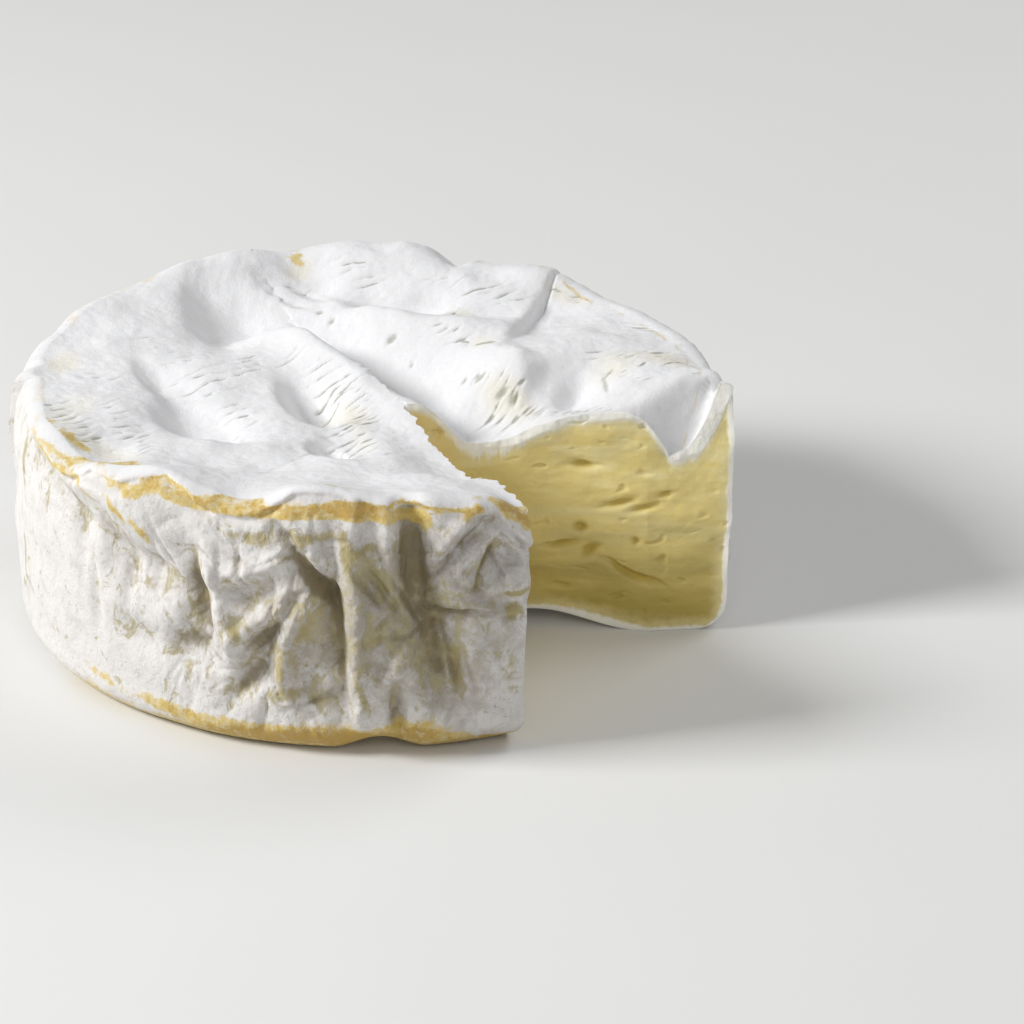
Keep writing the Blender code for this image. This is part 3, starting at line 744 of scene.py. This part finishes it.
def wall_point(turn, level):
    """Radius on the wall, and the share of the height there, for a level from 0 to 1."""
    foot_bend = np.radians(90 * np.clip(level / FOOT_SHARE, 0, 1) - 90)
    shoulder_bend = np.radians(90 * np.clip((level - 1) / SHOULDER_SHARE + 1, 0, 1))
    wall = np.clip((level - FOOT_SHARE) / (1 - FOOT_SHARE - SHOULDER_SHARE), 0, 1)
    height = MIDDLE_HEIGHT + RIM_RISE
    z = (FOOT * (1 + np.sin(foot_bend)) + (height - FOOT - SHOULDER) * wall
         + SHOULDER * np.sin(shoulder_bend))
    radius = (WHEEL_RADIUS - FOOT * (1 - np.cos(foot_bend)) - SHOULDER * (1 - np.cos(shoulder_bend))
              + BELLY * np.sin(math.pi * wall))
    folds = on_wall(WALL_FORMS + WALL_CREASES + back_folds(), turn, z)
    radius = radius + folds * np.clip(z / FOOT, 0, 1)
    east, north = around(turn, radius)
    puffs, _ = crumple(turn, z)
    swell = np.sin(math.pi * np.clip(z / height, 0, 1))
    radius = (radius + lumps(east, north, z) * swell + puffs * np.clip(3 * swell, 0, 1)
              + seam(turn, z))
    return *around(turn, radius), z / height


def between(start, end, share):
    return start + (end - start) * share


def cut_frame(rim_turn, side):
    """A cut seen from above: its direction, its length, and the direction out of the cheese."""
    rim = np.array([math.cos(math.radians(rim_turn)), math.sin(math.radians(rim_turn))])
    line = rim * WHEEL_RADIUS - CUT_POINT
    length = np.hypot(*line)
    line /= length
    return line, length, side * np.array([line[1], -line[0]])


def past_point(x, y, way):
    """How far the points lie past the point where the cuts meet, in this direction."""
    return (x - CUT_POINT[0]) * way[0] + (y - CUT_POINT[1]) * way[1]


def cut_shift(x, y, z, top, rim_turn, side, lean):
    """How far the points near one cut move out of the cheese, square to that cut."""
    line, length, out = cut_frame(rim_turn, side)
    along = past_point(x, y, line)
    off_cut = past_point(x, y, out)
    height = MIDDLE_HEIGHT + RIM_RISE
    creep = lean * np.clip(along / (0.75 * length), 0, 1) ** 1.3 * np.clip(1 - z / height, 0, 1)
    shift = creep * np.exp(-(off_cut / LEAN_REACH) ** 2)
    tears = 0.5 + swirl(along, 0 * z + side * 9, z / 2.5, 1.5, 81) + 0.4 * swirl(along, z, 0, 0.8, 82)
    torn = TEARS[side] * np.clip(tears, 0, 2) * np.exp(-(off_cut / TEAR_DEPTH) ** 2)
    shift = shift + torn * np.exp(-((top - z) / RIND_THICKNESS) ** 2)
    return shift * out[0], shift * out[1]


def place(turn, reach, level):
    """The points of the cheese for turn in degrees and reach and level from 0 to 1.

    The turn is the same down each column of the three arrays."""
    row = turn[:1]
    foot_x, foot_y, _ = wall_point(row, 0 * row)
    crown_x, crown_y, _ = wall_point(row, 0 * row + 1)
    if np.ptp(level) > 0:
        wall_x, wall_y, share = wall_point(turn, level)
    else:
        wall_x, wall_y, share = wall_point(row, level[:1])
    x = between(CUT_POINT[0], wall_x, reach)
    y = between(CUT_POINT[1], wall_y, reach)
    low = underside_height(between(CUT_POINT[0], foot_x, reach),
                           between(CUT_POINT[1], foot_y, reach))
    high = top_height(between(CUT_POINT[0], crown_x, reach),
                      between(CUT_POINT[1], crown_y, reach))
    z = between(low, high, share)
    far_x, far_y = cut_shift(x, y, z, high, FAR_CUT_TURN, 1, FAR_LEAN)
    near_x, near_y = cut_shift(x, y, z, high, NEAR_CUT_TURN, -1, NEAR_LEAN)
    return np.stack([x + far_x + near_x, y + far_y + near_y, z], axis=-1)


def vertex_normals(points):
    """Unit normals of a grid of points, on the side that its rows then columns turn to."""
    along = np.gradient(points, axis=0)
    across = np.gradient(points, axis=1)
    normal = np.cross(along, across)
    size = np.linalg.norm(normal, axis=-1, keepdims=True)
    return normal / np.maximum(size, 1e-12)


def in_box(points):
    return np.clip(points, np.array(CAD_LOW) / MM, np.array(CAD_HIGH) / MM)


@lru_cache(maxsize=None)
def skin():
    """The whole rind as arrays over (path, turn), with what its finish needs to know."""
    turn = np.linspace(FAR_CUT_TURN, NEAR_CUT_TURN, TURNS + 1)
    parts = []
    for rows, reach, level in (
        (BASE_ROWS, np.linspace(0, 1, BASE_ROWS, endpoint=False), 0),
        (WALL_ROWS, 1, np.linspace(0, 1, WALL_ROWS, endpoint=False)),
        (TOP_ROWS + 1, np.linspace(1, 0, TOP_ROWS + 1), 1),
    ):
        grid = np.ones((rows, TURNS + 1))
        parts.append((turn * grid, (reach * grid.T).T, (level * grid.T).T))
    points = np.concatenate([place(*part) for part in parts])
    turns, reach, level = (np.concatenate(kind) for kind in zip(*parts))
    points = in_box(points)
    normals = -vertex_normals(points)
    normals[0] = (0, 0, -1)
    normals[-1] = normals[-2]
    x, y, z = np.moveaxis(points, -1, 0)
    crown = z[BASE_ROWS + WALL_ROWS]
    fade = np.clip((crown - z) / WALL_FADE, 0, 1) * np.clip(z / WALL_FADE, 0, 1)
    is_wall = (level < 1) & (reach == 1)
    wall = np.where(is_wall, fade, 0.0)
    _, creases = crumple(turns, z)
    folds = on_wall(WALL_FORMS + back_folds(), turns, z)
    patchy = 0.75 + 0.9 * swirl(x, y, z / 2, 3.0, 57) + 0.5 * swirl(x, y, z, 1.2, 58)
    fields = {
        "wall": wall,
        "base": np.where(level == 0, 1.0, 0.0),
        "crease": wall * np.clip(creases, 0, 1),
        "fold": wall * np.clip(-folds / 3, 0, 1),
        "below_rim": np.where(level > 0.4, rim_line(turns) - z
                              - RIM_STAIN_FADE * (1 - reach), FAR_OFF),
        "above_foot": np.where(level < 1, z - by_turn(FOOT_LINE, turns)
                               + FOOT_STAIN_FADE * (1 - reach), FAR_OFF),
        "stain": np.where(is_wall, on_wall(WALL_STAINS, turns, z), 0)
        + np.where(level == 1, relief(TOP_STAINS, x, y), 0),
        "rim": by_turn(SEAM_STRENGTH, turns),
        "blot": wall * on_wall(WALL_BLOTS, turns, z),
        "thin": wall * np.clip(-on_wall(WALL_CREASES, turns, z) / 0.5, 0, 1),
        # dark: the brown fold bottoms, partly the skin's colour and partly painted shade
        "dark": wall * np.clip(on_wall(BROWN_AND_SHADED_FOLDS, turns, z), 0, 1.2) * np.clip(patchy, 0, 1.2),
        # the grey mould, together with the painted shade of the wall's front and right
        "grey": wall * np.clip(on_wall(GREY_AND_SHADE_ZONES, turns, z), 0, 1),
        "spot": np.where(level == 1, relief(TOP_SPOTS, x, y), 0),
        "cream": np.where(level == 1, relief(CREAM_ZONES, x, y), 0),
        "stroke": np.where(level == 1, pressed(x, y), 0),
    }
    return points, normals, fields


def mesh_piece(name, points, normals, fields, flip=False):
    """One object from a grid of points in millimetres, with its normals and named fields."""
    rows, columns = points.shape[:2]
    index = np.arange(rows * columns).reshape(rows, columns)
    corners = (index[:-1, :-1], index[:-1, 1:], index[1:, 1:], index[1:, :-1])
    if flip:
        corners = corners[::-1]
    faces = np.stack([corner.ravel() for corner in corners], axis=1)
    mesh = bpy.data.meshes.new(name)
    mesh.from_pydata((points.reshape(-1, 3) * MM).tolist(), [], faces.tolist())
    mesh.shade_smooth()
    for label, field in fields.items():
        layer = mesh.attributes.new(label, "FLOAT", "POINT")
        layer.data.foreach_set("value", field.astype(np.float32).ravel())
    mesh.normals_split_custom_set_from_vertices(normals.reshape(-1, 3).tolist())
    piece = bpy.data.objects.new(name, mesh)
    bpy.context.scene.collection.objects.link(piece)
    return piece


def join_frame(piece, material):
    piece.data.materials.append(material)
    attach(piece, BODY)
    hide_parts(NODE)
    return piece


def rind_piece(name, first_row, last_row, start, end):
    """A window of the skin as one piece. start and end are shares of the whole turn."""
    points, normals, fields = skin()
    window = (slice(first_row, last_row + 1), slice(int(TURNS * start), int(TURNS * end) + 1))
    used = {key: field[window] for key, field in fields.items()}
    piece = mesh_piece(name, points[window], normals[window], used)
    return join_frame(piece, rind_material())


def cut_face(name, rim_turn, side, cells, holes, teeth):
    """One cut face, with its eyes and cracks pressed into it."""
    columns, rows = cells
    level, reach = np.meshgrid(np.linspace(0, 1, rows + 1), np.linspace(0, 1, columns + 1),
                               indexing="ij")
    points = place(0 * reach + rim_turn, reach, level)
    line, length, out = cut_frame(rim_turn, side)
    x, y, z = np.moveaxis(points, -1, 0)
    along = past_point(x, y, line)
    top = points[-1:, :, 2] - z
    sides = np.minimum(z - points[:1, :, 2], (1 - reach) * length)
    depth = np.minimum(top, sides)
    inside = np.clip(np.minimum(depth, along) / FACE_BORDER, 0, 1)
    sway = 0.7 * swirl(along, z, side * 7, 3.0, 91)
    hollow = relief(holes, along + 0.6 * sway, z + 0.4 * sway)
    smear = swirl(along / 5, z * 1.3, side * 3, 1.6, 92)
    grain = swirl(along / 1.6, z, side * 5, 0.9, 93)
    uneven = 0.35 * swirl(along, z * 1.5, side, 7.0, 94) + 0.06 * smear + 0.05 * grain
    small = np.clip(swirl(along / 2.2, z, side * 8, 1.3, 95) - 0.48, 0, 1) * 1.8
    small = small * np.clip(0.3 + swirl(along, z, side * 2, 9.0, 96), 0, 1)
    push = (uneven - hollow - small) * inside
    points[..., 0] += push * out[0]
    points[..., 1] += push * out[1]
    points = in_box(points)
    normals = -side * vertex_normals(points)
    normals[:, 0] = normals[:, 1]
    drag = np.clip(relief(teeth, along, 0 * along), 0, 1)
    fields = {"top_depth": np.clip(top, 0, FAR_OFF), "side_depth": np.clip(sides, 0, FAR_OFF),
              "eye": np.clip(hollow + small, 0, 2), "height": z / (MIDDLE_HEIGHT + RIM_RISE),
              "along": along, "drag": drag, "smear": smear}
    piece = mesh_piece(name, points, normals, fields, flip=side < 0)
    return join_frame(piece, paste_material())


class Value:
    """An output socket that holds a number. Arithmetic on it adds Math nodes."""

    def __init__(self, finish, socket):
        self.finish = finish
        self.socket = socket

    def _math(self, operation, *values):
        return self.finish.node("ShaderNodeMath", {"operation": operation},
                                dict(enumerate(values)))

    def __add__(self, other):
        return self._math("ADD", self, other)

    __radd__ = __add__

    def __sub__(self, other):
        return self._math("SUBTRACT", self, other)

    def __rsub__(self, other):
        return self._math("SUBTRACT", other, self)

    def __mul__(self, other):
        return self._math("MULTIPLY", self, other)

    __rmul__ = __mul__

    def most(self, other):
        return self._math("MAXIMUM", self, other)

    def least(self, other):
        return self._math("MINIMUM", self, other)

    def size(self):
        return self._math("ABSOLUTE", self)

    def step(self, low, high):
        """0 below low, 1 above high and a smooth rise between them."""
        return self.finish.node("ShaderNodeMapRange", {"interpolation_type": "SMOOTHSTEP"},
                                {"Value": self, "From Min": low, "From Max": high})


class Finish:
    """A material and the nodes behind its Principled shader."""

    def __init__(self, name):
        self.material = bpy.data.materials.new(name)
        self.material.use_nodes = True
        self.tree = self.material.node_tree
        self.shader = self.tree.nodes["Principled BSDF"]
        coordinate = self.node("ShaderNodeTexCoord", output="Object")
        self.place = self.node("ShaderNodeVectorMath", {"operation": "SCALE"},
                               {0: coordinate, "Scale": 1 / MM})

    def node(self, kind, settings=None, inputs=None, output=0):
        """A node of this kind, its settings made first, and one of its outputs as a Value."""
        node = self.tree.nodes.new(kind)
        for name, setting in (settings or {}).items():
            setattr(node, name, setting)
        for name, value in (inputs or {}).items():
            self.feed(node.inputs[name], value)
        return Value(self, node.outputs[output])

    def feed(self, socket, value):
        if isinstance(value, Value):
            self.tree.links.new(value.socket, socket)
        else:
            socket.default_value = value

    def field(self, name):
        return self.node("ShaderNodeAttribute", {"attribute_name": name}, output="Fac")

    def noise(self, size, detail=3.0, roughness=0.55, where=None, warp=0.0):
        """Noise from 0 to 1 with lumps of this size in millimetres."""
        return self.node("ShaderNodeTexNoise", None,
                         {"Vector": where or self.place, "Scale": 1 / size, "Detail": detail,
                          "Roughness": roughness, "Distortion": warp}, "Fac")

    def blend(self, first, second, share):
        """The first colour where share is 0 and the second where it is 1."""
        return self.node("ShaderNodeMix", {"data_type": "RGBA"},
                         {0: share, 6: first, 7: second}, 2)

    def shifted(self, scale=(1, 1, 1), turn=0.0, move=(0, 0, 0)):
        """The place, turned about the upright axis, scaled and moved."""
        return self.node("ShaderNodeMapping", {"vector_type": "POINT"},
                         {"Vector": self.place, "Location": move,
                          "Rotation": (0, 0, math.radians(turn)), "Scale": scale}, "Vector")

    def paint(self, name, share):
        """Lays this colour of the panel over the tint so far, where share says."""
        self.tint = self.blend(self.tint, colour(name), share)

    def show(self, roughness, height, constants):
        """Hands the shader the tint, the roughness, a height in millimetres and the rest."""
        bump = self.node("ShaderNodeBump", None, {"Height": height, "Distance": MM}, "Normal")
        shown = {"Base Color": self.tint, "Roughness": roughness, "Normal": bump, **constants}
        for name, value in shown.items():
            self.feed(self.shader.inputs[name], value)


def colour(name):
    """A colour of the panel, with full alpha."""
    return (*getattr(bpy.context.scene.camembert_colours, name), 1.0)


@lru_cache(maxsize=None)
def rind_material():
    made = Finish("mould rind")
    wall, fold, crease, stain, below_rim = map(
        made.field, ("wall", "fold", "crease", "stain", "below_rim"))
    ragged = made.noise(1.5, 6.0, 0.68, warp=0.3)
    shreds = made.noise(0.5, 4.0, 0.6, made.shifted((1, 1, 0.5)))
    down = made.noise(0.45, 5.0, 0.7)
    broad = made.noise(6.5, 4.0, 0.6)

    # mould: white down, thinner and cooler in patches, creamy where the mat pressed it
    top_white = made.blend(colour("mould"), colour("mould_shade"),
                           broad.step(0.48, 0.75) * 0.3 + down.step(0.5, 0.8) * 0.15)
    cream = (made.field("cream") + (ragged - 0.5) * 0.9).step(0.25, 1.1)
    top_white = made.blend(top_white, colour("cream_mould"), cream * 0.75)
    mottle = made.noise(3.6, 5.0, 0.64, warp=0.6)
    # grey: the grey mould and the painted shade of the wall's front and right, both darkening the
    # wall's white
    grey = made.field("grey")
    wall_white = made.blend(colour("wall_mould"), colour("wall_grey_and_shade"),
                            (mottle + grey * 0.16).step(0.44, 0.78) * (0.45 + grey * 0.45))
    wall_white = made.blend(wall_white, colour("wall_dull_and_shade"),
                            (grey + (mottle - 0.5) * 1.4).step(0.2, 1.1) * 0.62)
    made.tint = made.blend(top_white, wall_white, wall)

    # the underside, which lay on the straw: creamy, with small worn specks
    base = made.field("base")
    worn = (broad + (ragged - 0.5) * 0.5).step(0.42, 0.66)
    made.paint("cream_mould", base * (0.35 + worn * 0.5))
    specks = (ragged + (shreds - 0.5) * 0.4).step(0.50, 0.66)
    made.paint("khaki", base * specks * 0.6)

    # the wall's mould is thin on patches with soft borders, and in the creases
    patches = made.noise(3.0, 5.0, 0.62, made.shifted((1, 1, 0.75), move=(11, 5, 2)), warp=0.9)
    thin = (patches + crease * 0.10 + fold * 0.10 + grey * 0.13 + (shreds - 0.5) * 0.16
            + (made.field("blot") - 0.3) * 0.14).step(0.58, 0.72)
    made.paint("khaki", thin * wall * 0.85)
    veins = 1 - (made.noise(3.4, 3.0, 0.6, made.shifted(move=(2, 9, 4)), warp=1.4) - 0.5).size() * 9
    veins = (veins + grey * 0.6 + (shreds - 0.5) * 0.8).step(0.9, 1.7)
    made.paint("khaki", veins * wall * 0.6)
    blots = (made.field("blot") * 1.25 + (ragged - 0.5) * 1.6 + (shreds - 0.5) * 0.5).step(0.35, 0.95)
    made.paint("blot", blots * wall * 0.75)
    # brown deep in folds and creases: partly the skin's colour, partly painted shade
    deep = made.field("dark") + made.field("thin") * 0.55 + fold * 0.55 + crease * 0.28
    brown = (deep + (ragged - 0.5) * 0.9 + (mottle - 0.5) * 0.5).step(0.35, 1.15) * wall
    made.paint("brown", brown * 0.78)

    # freckles of grey-green mould
    freckles = (made.noise(0.55, 2.0, 0.5).step(0.60, 0.72)
                * made.noise(5.0, 3.0).step(0.42, 0.62))
    made.paint("freckle", freckles * (wall * 0.45 + 0.05))

    # stains: under the rim's seam, round the foot, and in single patches
    grain = made.noise(1.1, 5.0, 0.66)
    seam_part = made.noise(6.0, 3.0, 0.6, made.shifted(move=(3, 7, 0))).step(0.42, 0.56)
    band = ((below_rim + (ragged - 0.5) * 1.0 + (shreds - 0.5) * 0.6).step(-0.25, 0.15)
            * (1 - (below_rim + (ragged - 0.5) * 2.6 + (grain - 0.5) * 1.6).step(0.3, 1.1)))
    rim = made.field("rim")
    foot = 1 - (made.field("above_foot") + (ragged - 0.5) * 5.0 + (broad - 0.5) * 3
                + (grain - 0.5) * 2).step(-1.0, 0.8)
    gold = (stain + (ragged - 0.5) * 1.5 + (grain - 0.5) * 0.6).step(0.4, 0.8)
    ochre = (band * seam_part * rim).most(foot * 0.9).most(gold * 0.9)
    made.paint("ochre", ochre * (grain * 0.8 + 0.45).step(0.3, 1.0))
    strong = ((stain * 0.6 + band * 0.5 + foot * 0.5 + (grain - 0.5) * 2.6)
              .step(0.45, 1.2)) * ochre
    made.paint("orange", strong * 0.65)

    # strokes of the straw mat: green mould in them, darkened further as painted shade of their
    # grooves
    stroke = made.field("stroke")
    green = (stroke + (shreds - 0.5) * 0.4).step(0.32, 0.85)
    made.paint("mat_mark_and_shade", green * 0.75)
    spots = (made.field("spot") + (down - 0.5) * 1.1).step(0.2, 1.25)
    made.paint("spot", spots * 0.6)

    made.show(0.95 - ochre * 0.25 - thin * wall * 0.2,
              down * 0.12 + made.noise(0.18, 3.0, 0.6) * 0.04 - stroke * 0.06
              + (ragged * 0.30 + shreds * 0.10 - thin * 0.10) * wall,
              {"Specular IOR Level": 0.25, "Subsurface Weight": 0.12,
               "Subsurface Radius": (1.0, 0.9, 0.75), "Subsurface Scale": 1.2 * MM})
    return made.material


@lru_cache(maxsize=None)
def paste_material():
    made = Finish("soft paste")
    top_depth, side_depth, height, eye, smear = map(
        made.field, ("top_depth", "side_depth", "height", "eye", "smear"))
    wobble = made.noise(1.2, 3.0, 0.6)
    bands = made.noise(8.0, 3.0, 0.5, made.shifted((0.8, 0.8, 3.0)))
    streaks = made.noise(0.8, 2.0, 0.55, made.shifted((1, 1, 0.22)))

    made.tint = colour("paste")
    made.paint("paste_pale", (bands + smear * 0.05).step(0.44, 0.66) * 0.7)
    # painted shade: the paste darkens towards the bottom of the cut faces
    made.paint("paste_low_shade", (0.56 - height + (bands - 0.5) * 0.6).step(0, 0.55) * 0.9)
    # painted shade in the eyes and cracks, darker where they are deeper
    made.paint("paste_eye_shade", (eye + (wobble - 0.5) * 0.3).step(0.2, 1.0) * 0.75)
    inner = top_depth - 1.3 - made.field("drag") * streaks.step(0.25, 0.8) * 1.7
    ripe = 1 - (inner.least(side_depth - 0.8) + (wobble - 0.5) * 1.6).step(0.0, 2.2)
    made.paint("paste_ripe", ripe * 0.6)
    crest = 1 - (made.field("along") + (wobble - 0.5) * 5).step(5.0, 11.0)
    made.paint("paste_crest", crest * 0.8)
    edge = (1 - (inner + (wobble - 0.5) * 1.1).step(-0.7, 0.7)).most(
        1 - (side_depth + (wobble - 0.5) * 0.9).step(0.45, 1.05))
    made.paint("cut_rind", edge * 0.95)

    made.show(0.40 + edge * 0.5 + wobble * 0.15,
              made.noise(1.1, 5.0, 0.66, made.shifted((0.8, 0.8, 1.2))) * 0.13 + edge * 0.05
              + streaks * edge * 0.08 + made.noise(0.3, 3.0) * 0.03,
              {"Specular IOR Level": 0.45, "Subsurface Weight": 0.35,
               "Subsurface Radius": (1.0, 0.8, 0.4), "Subsurface Scale": 2.2 * MM})
    return made.material


COLOURS = (
    ("mould", "White mould of the top", (0.80, 0.80, 0.81)),
    ("mould_shade", "Thinner, cooler mould of the top", (0.70, 0.69, 0.71)),
    ("cream_mould", "Mould of the top that the mat pressed thin", (0.78, 0.75, 0.65)),
    ("wall_mould", "White mould of the wall", (0.73, 0.71, 0.69)),
    # the two wall greys are partly the mould's own colour and partly painted shade on the wall's
    # front and right
    ("wall_grey_and_shade", "Grey patches of the wall", (0.48, 0.44, 0.40)),
    ("khaki", "Skin that shows through thin mould", (0.47, 0.41, 0.24)),
    ("wall_dull_and_shade", "Thin grey-brown mould of the wall", (0.41, 0.37, 0.32)),
    ("blot", "Worn khaki blots of the wall", (0.42, 0.35, 0.16)),
    # brown is partly the skin's own colour and partly painted shade deep in the folds
    ("brown", "Skin deep in the folds", (0.24, 0.19, 0.11)),
    ("ochre", "Stains of the rind", (0.66, 0.49, 0.12)),
    ("orange", "Strongest stains of the rind", (0.42, 0.23, 0.03)),
    ("freckle", "Small grey-green freckles", (0.30, 0.29, 0.19)),
    # mould in the mat's dents, darkened further as painted shade of the grooves
    ("mat_mark_and_shade", "Mould in the dents of the straw mat", (0.36, 0.36, 0.30)),
    ("spot", "Green-grey spots of the top", (0.27, 0.28, 0.18)),
    ("paste", "The soft inside", (0.80, 0.66, 0.26)),
    ("paste_pale", "Paler bands of the inside", (0.88, 0.78, 0.42)),
    # painted shade low on the cut faces
    ("paste_low_shade", "Darker paste low down", (0.42, 0.31, 0.045)),
    # painted shade in the paste's eyes and cracks
    ("paste_eye_shade", "Paste in the eyes and cracks", (0.60, 0.46, 0.09)),
    ("paste_ripe", "Creamy paste just under the rind", (0.86, 0.76, 0.42)),
    ("paste_crest", "Paste close to where the cuts meet", (0.88, 0.72, 0.34)),
    ("cut_rind", "The rind's own cut edge", (0.97, 0.95, 0.88)),
    ("floor", "The pale studio floor", (0.78, 0.78, 0.77)),
)


class CamembertColours(bpy.types.PropertyGroup):
    """The colours of the rind, the paste and the floor."""

    __annotations__ = {
        name: FloatVectorProperty(name=name.replace("_", " ").capitalize(), description=about,
                                  subtype="COLOR", default=tint, min=0, max=1)
        for name, about, tint in COLOURS
    }


STUDIO = (
    ("elevation", "Camera elevation", "How steeply the camera looks down", "ANGLE", math.radians(24)),
    ("distance", "Camera distance", "From the wheel's foot to the camera", "DISTANCE", 0.65),
    ("lens", "Lens", "Focal length in millimetres", "NONE", 149.6),
    ("aside", "View to the right", "How far right of the wheel the camera looks", "DISTANCE", 0.0214),
    ("above", "View above", "How far above the wheel's foot it looks", "DISTANCE", 0.0134),
    ("key_power", "Key light", "Power of the soft key light", "POWER", 9.6),
    ("side_power", "Side light", "Power of the light from behind on the right", "POWER", 2.5),
    ("fill_power", "Fill light", "Power of the front fill", "POWER", 1.7),
    ("ambient", "Ambient", "Strength of the even light all round", "NONE", 0.24),
)


class CamembertStudio(bpy.types.PropertyGroup):
    """The view and the lights."""

    __annotations__ = {
        name: FloatProperty(name=label, description=about, subtype=kind, default=value)
        for name, label, about, kind, value in STUDIO
    }


class CAMEMBERT_OT_rind_top(bpy.types.Operator):
    """Makes the top of the rind in two halves, from the shoulder in to the cuts."""

    bl_idname = "camembert.rind_top"
    bl_label = "Rind: top"

    def execute(self, context):
        first = BASE_ROWS + WALL_ROWS
        rind_piece("rind_top_back", first, first + TOP_ROWS, 0, 0.5)
        rind_piece("rind_top_front", first, first + TOP_ROWS, 0.5, 1)
        return {"FINISHED"}


class CAMEMBERT_OT_rind_wall(bpy.types.Operator):
    """Makes the wall of the rind in two halves, from the foot to the shoulder."""

    bl_idname = "camembert.rind_wall"
    bl_label = "Rind: wall"

    def execute(self, context):
        rind_piece("rind_wall_back", BASE_ROWS, BASE_ROWS + WALL_ROWS, 0, 0.5)
        rind_piece("rind_wall_front", BASE_ROWS, BASE_ROWS + WALL_ROWS, 0.5, 1)
        return {"FINISHED"}


class CAMEMBERT_OT_rind_base(bpy.types.Operator):
    """Makes the underside of the rind."""

    bl_idname = "camembert.rind_base"
    bl_label = "Rind: underside"

    def execute(self, context):
        rind_piece("rind_base", 0, BASE_ROWS, 0, 1)
        return {"FINISHED"}


class CAMEMBERT_OT_paste(bpy.types.Operator):
    """Makes the two cut faces."""

    bl_idname = "camembert.paste"
    bl_label = "Cut faces"

    def execute(self, context):
        cut_face("paste_far", FAR_CUT_TURN, 1, FAR_FACE, FAR_HOLES, FAR_TEETH)
        cut_face("paste_near", NEAR_CUT_TURN, -1, NEAR_FACE, NEAR_HOLES, NEAR_TEETH)
        return {"FINISHED"}


def soft_light(name, power, size, where, target=(0, 0, 0.02)):
    """A square area light of this size at where, looking at the target."""
    lamp = bpy.data.lights.new(name, "AREA")
    lamp.energy = power
    lamp.size = size
    light = bpy.data.objects.new(name, lamp)
    light.location = where
    aim = Vector(target) - Vector(where)
    light.rotation_euler = aim.to_track_quat("-Z", "Y").to_euler()
    bpy.context.scene.collection.objects.link(light)
    return light


class CAMEMBERT_OT_stage(bpy.types.Operator):
    """Makes the floor, the lights and the camera."""

    bl_idname = "camembert.stage"
    bl_label = "Stage"

    def execute(self, context):
        studio = context.scene.camembert_studio
        bpy.ops.mesh.primitive_plane_add(size=6)
        floor = context.object
        floor.name = "floor"
        made = Finish("floor")
        tint = colour("floor")
        uneven = made.blend(tint, tuple(0.97 * c for c in tint), made.noise(60.0))
        made.feed(made.shader.inputs["Base Color"], uneven)
        made.feed(made.shader.inputs["Roughness"], 0.8)
        made.feed(made.shader.inputs["Specular IOR Level"], 0.2)
        floor.data.materials.append(made.material)

        soft_light("key", studio.key_power, 0.3, (-0.81, -0.15, 0.56))
        soft_light("side", studio.side_power, 0.5, (0.60, 0.40, 0.69))
        soft_light("fill", studio.fill_power, 0.6, (0.20, -0.81, 0.55))
        world = bpy.data.worlds.new("studio")
        context.scene.world = world
        world.use_nodes = True
        world.node_tree.nodes["Background"].inputs["Color"].default_value = (1, 1, 1, 1)
        world.node_tree.nodes["Background"].inputs["Strength"].default_value = studio.ambient

        lens = bpy.data.cameras.new("camera")
        lens.lens = studio.lens
        lens.sensor_width = 36
        lens.clip_start = 0.01
        camera = bpy.data.objects.new("camera", lens)
        down = studio.elevation
        forward = Vector((0, math.cos(down), -math.sin(down)))
        up = Vector((0, math.sin(down), math.cos(down)))
        camera.location = (Vector((studio.aside, 0, 0)) + up * studio.above
                           - forward * studio.distance)
        camera.rotation_euler = (math.pi / 2 - down, 0, 0)
        context.scene.collection.objects.link(camera)
        context.scene.camera = camera
        context.scene.view_settings.view_transform = "Standard"
        return {"FINISHED"}


class CAMEMBERT_PT_panel(bpy.types.Panel):
    """Lists the pieces, the colours and the studio."""

    bl_label = "Cut Camembert"
    bl_idname = "CAMEMBERT_PT_panel"
    bl_space_type = "VIEW_3D"
    bl_region_type = "UI"
    bl_category = "Camembert"

    def draw(self, context):
        for step in STEPS:
            self.layout.operator(step.bl_idname)
        for group in (context.scene.camembert_colours, context.scene.camembert_studio):
            for name in group.__annotations__:
                self.layout.prop(group, name)


STEPS = (
    CAMEMBERT_OT_rind_top,
    CAMEMBERT_OT_rind_wall,
    CAMEMBERT_OT_rind_base,
    CAMEMBERT_OT_paste,
    CAMEMBERT_OT_stage,
)
GROUPS = (CamembertColours, CamembertStudio)


def register():
    for thing in (*GROUPS, *STEPS, CAMEMBERT_PT_panel):
        bpy.utils.register_class(thing)
    bpy.types.Scene.camembert_colours = PointerProperty(type=CamembertColours)
    bpy.types.Scene.camembert_studio = PointerProperty(type=CamembertStudio)


def unregister():
    del bpy.types.Scene.camembert_colours
    del bpy.types.Scene.camembert_studio
    for thing in reversed((*GROUPS, *STEPS, CAMEMBERT_PT_panel)):
        bpy.utils.unregister_class(thing)


def main():
    register()
    bpy.ops.camembert.rind_top()
    bpy.ops.camembert.rind_wall()
    bpy.ops.camembert.rind_base()
    bpy.ops.camembert.paste()
    bpy.ops.camembert.stage()


if __name__ == "__main__":
    main()
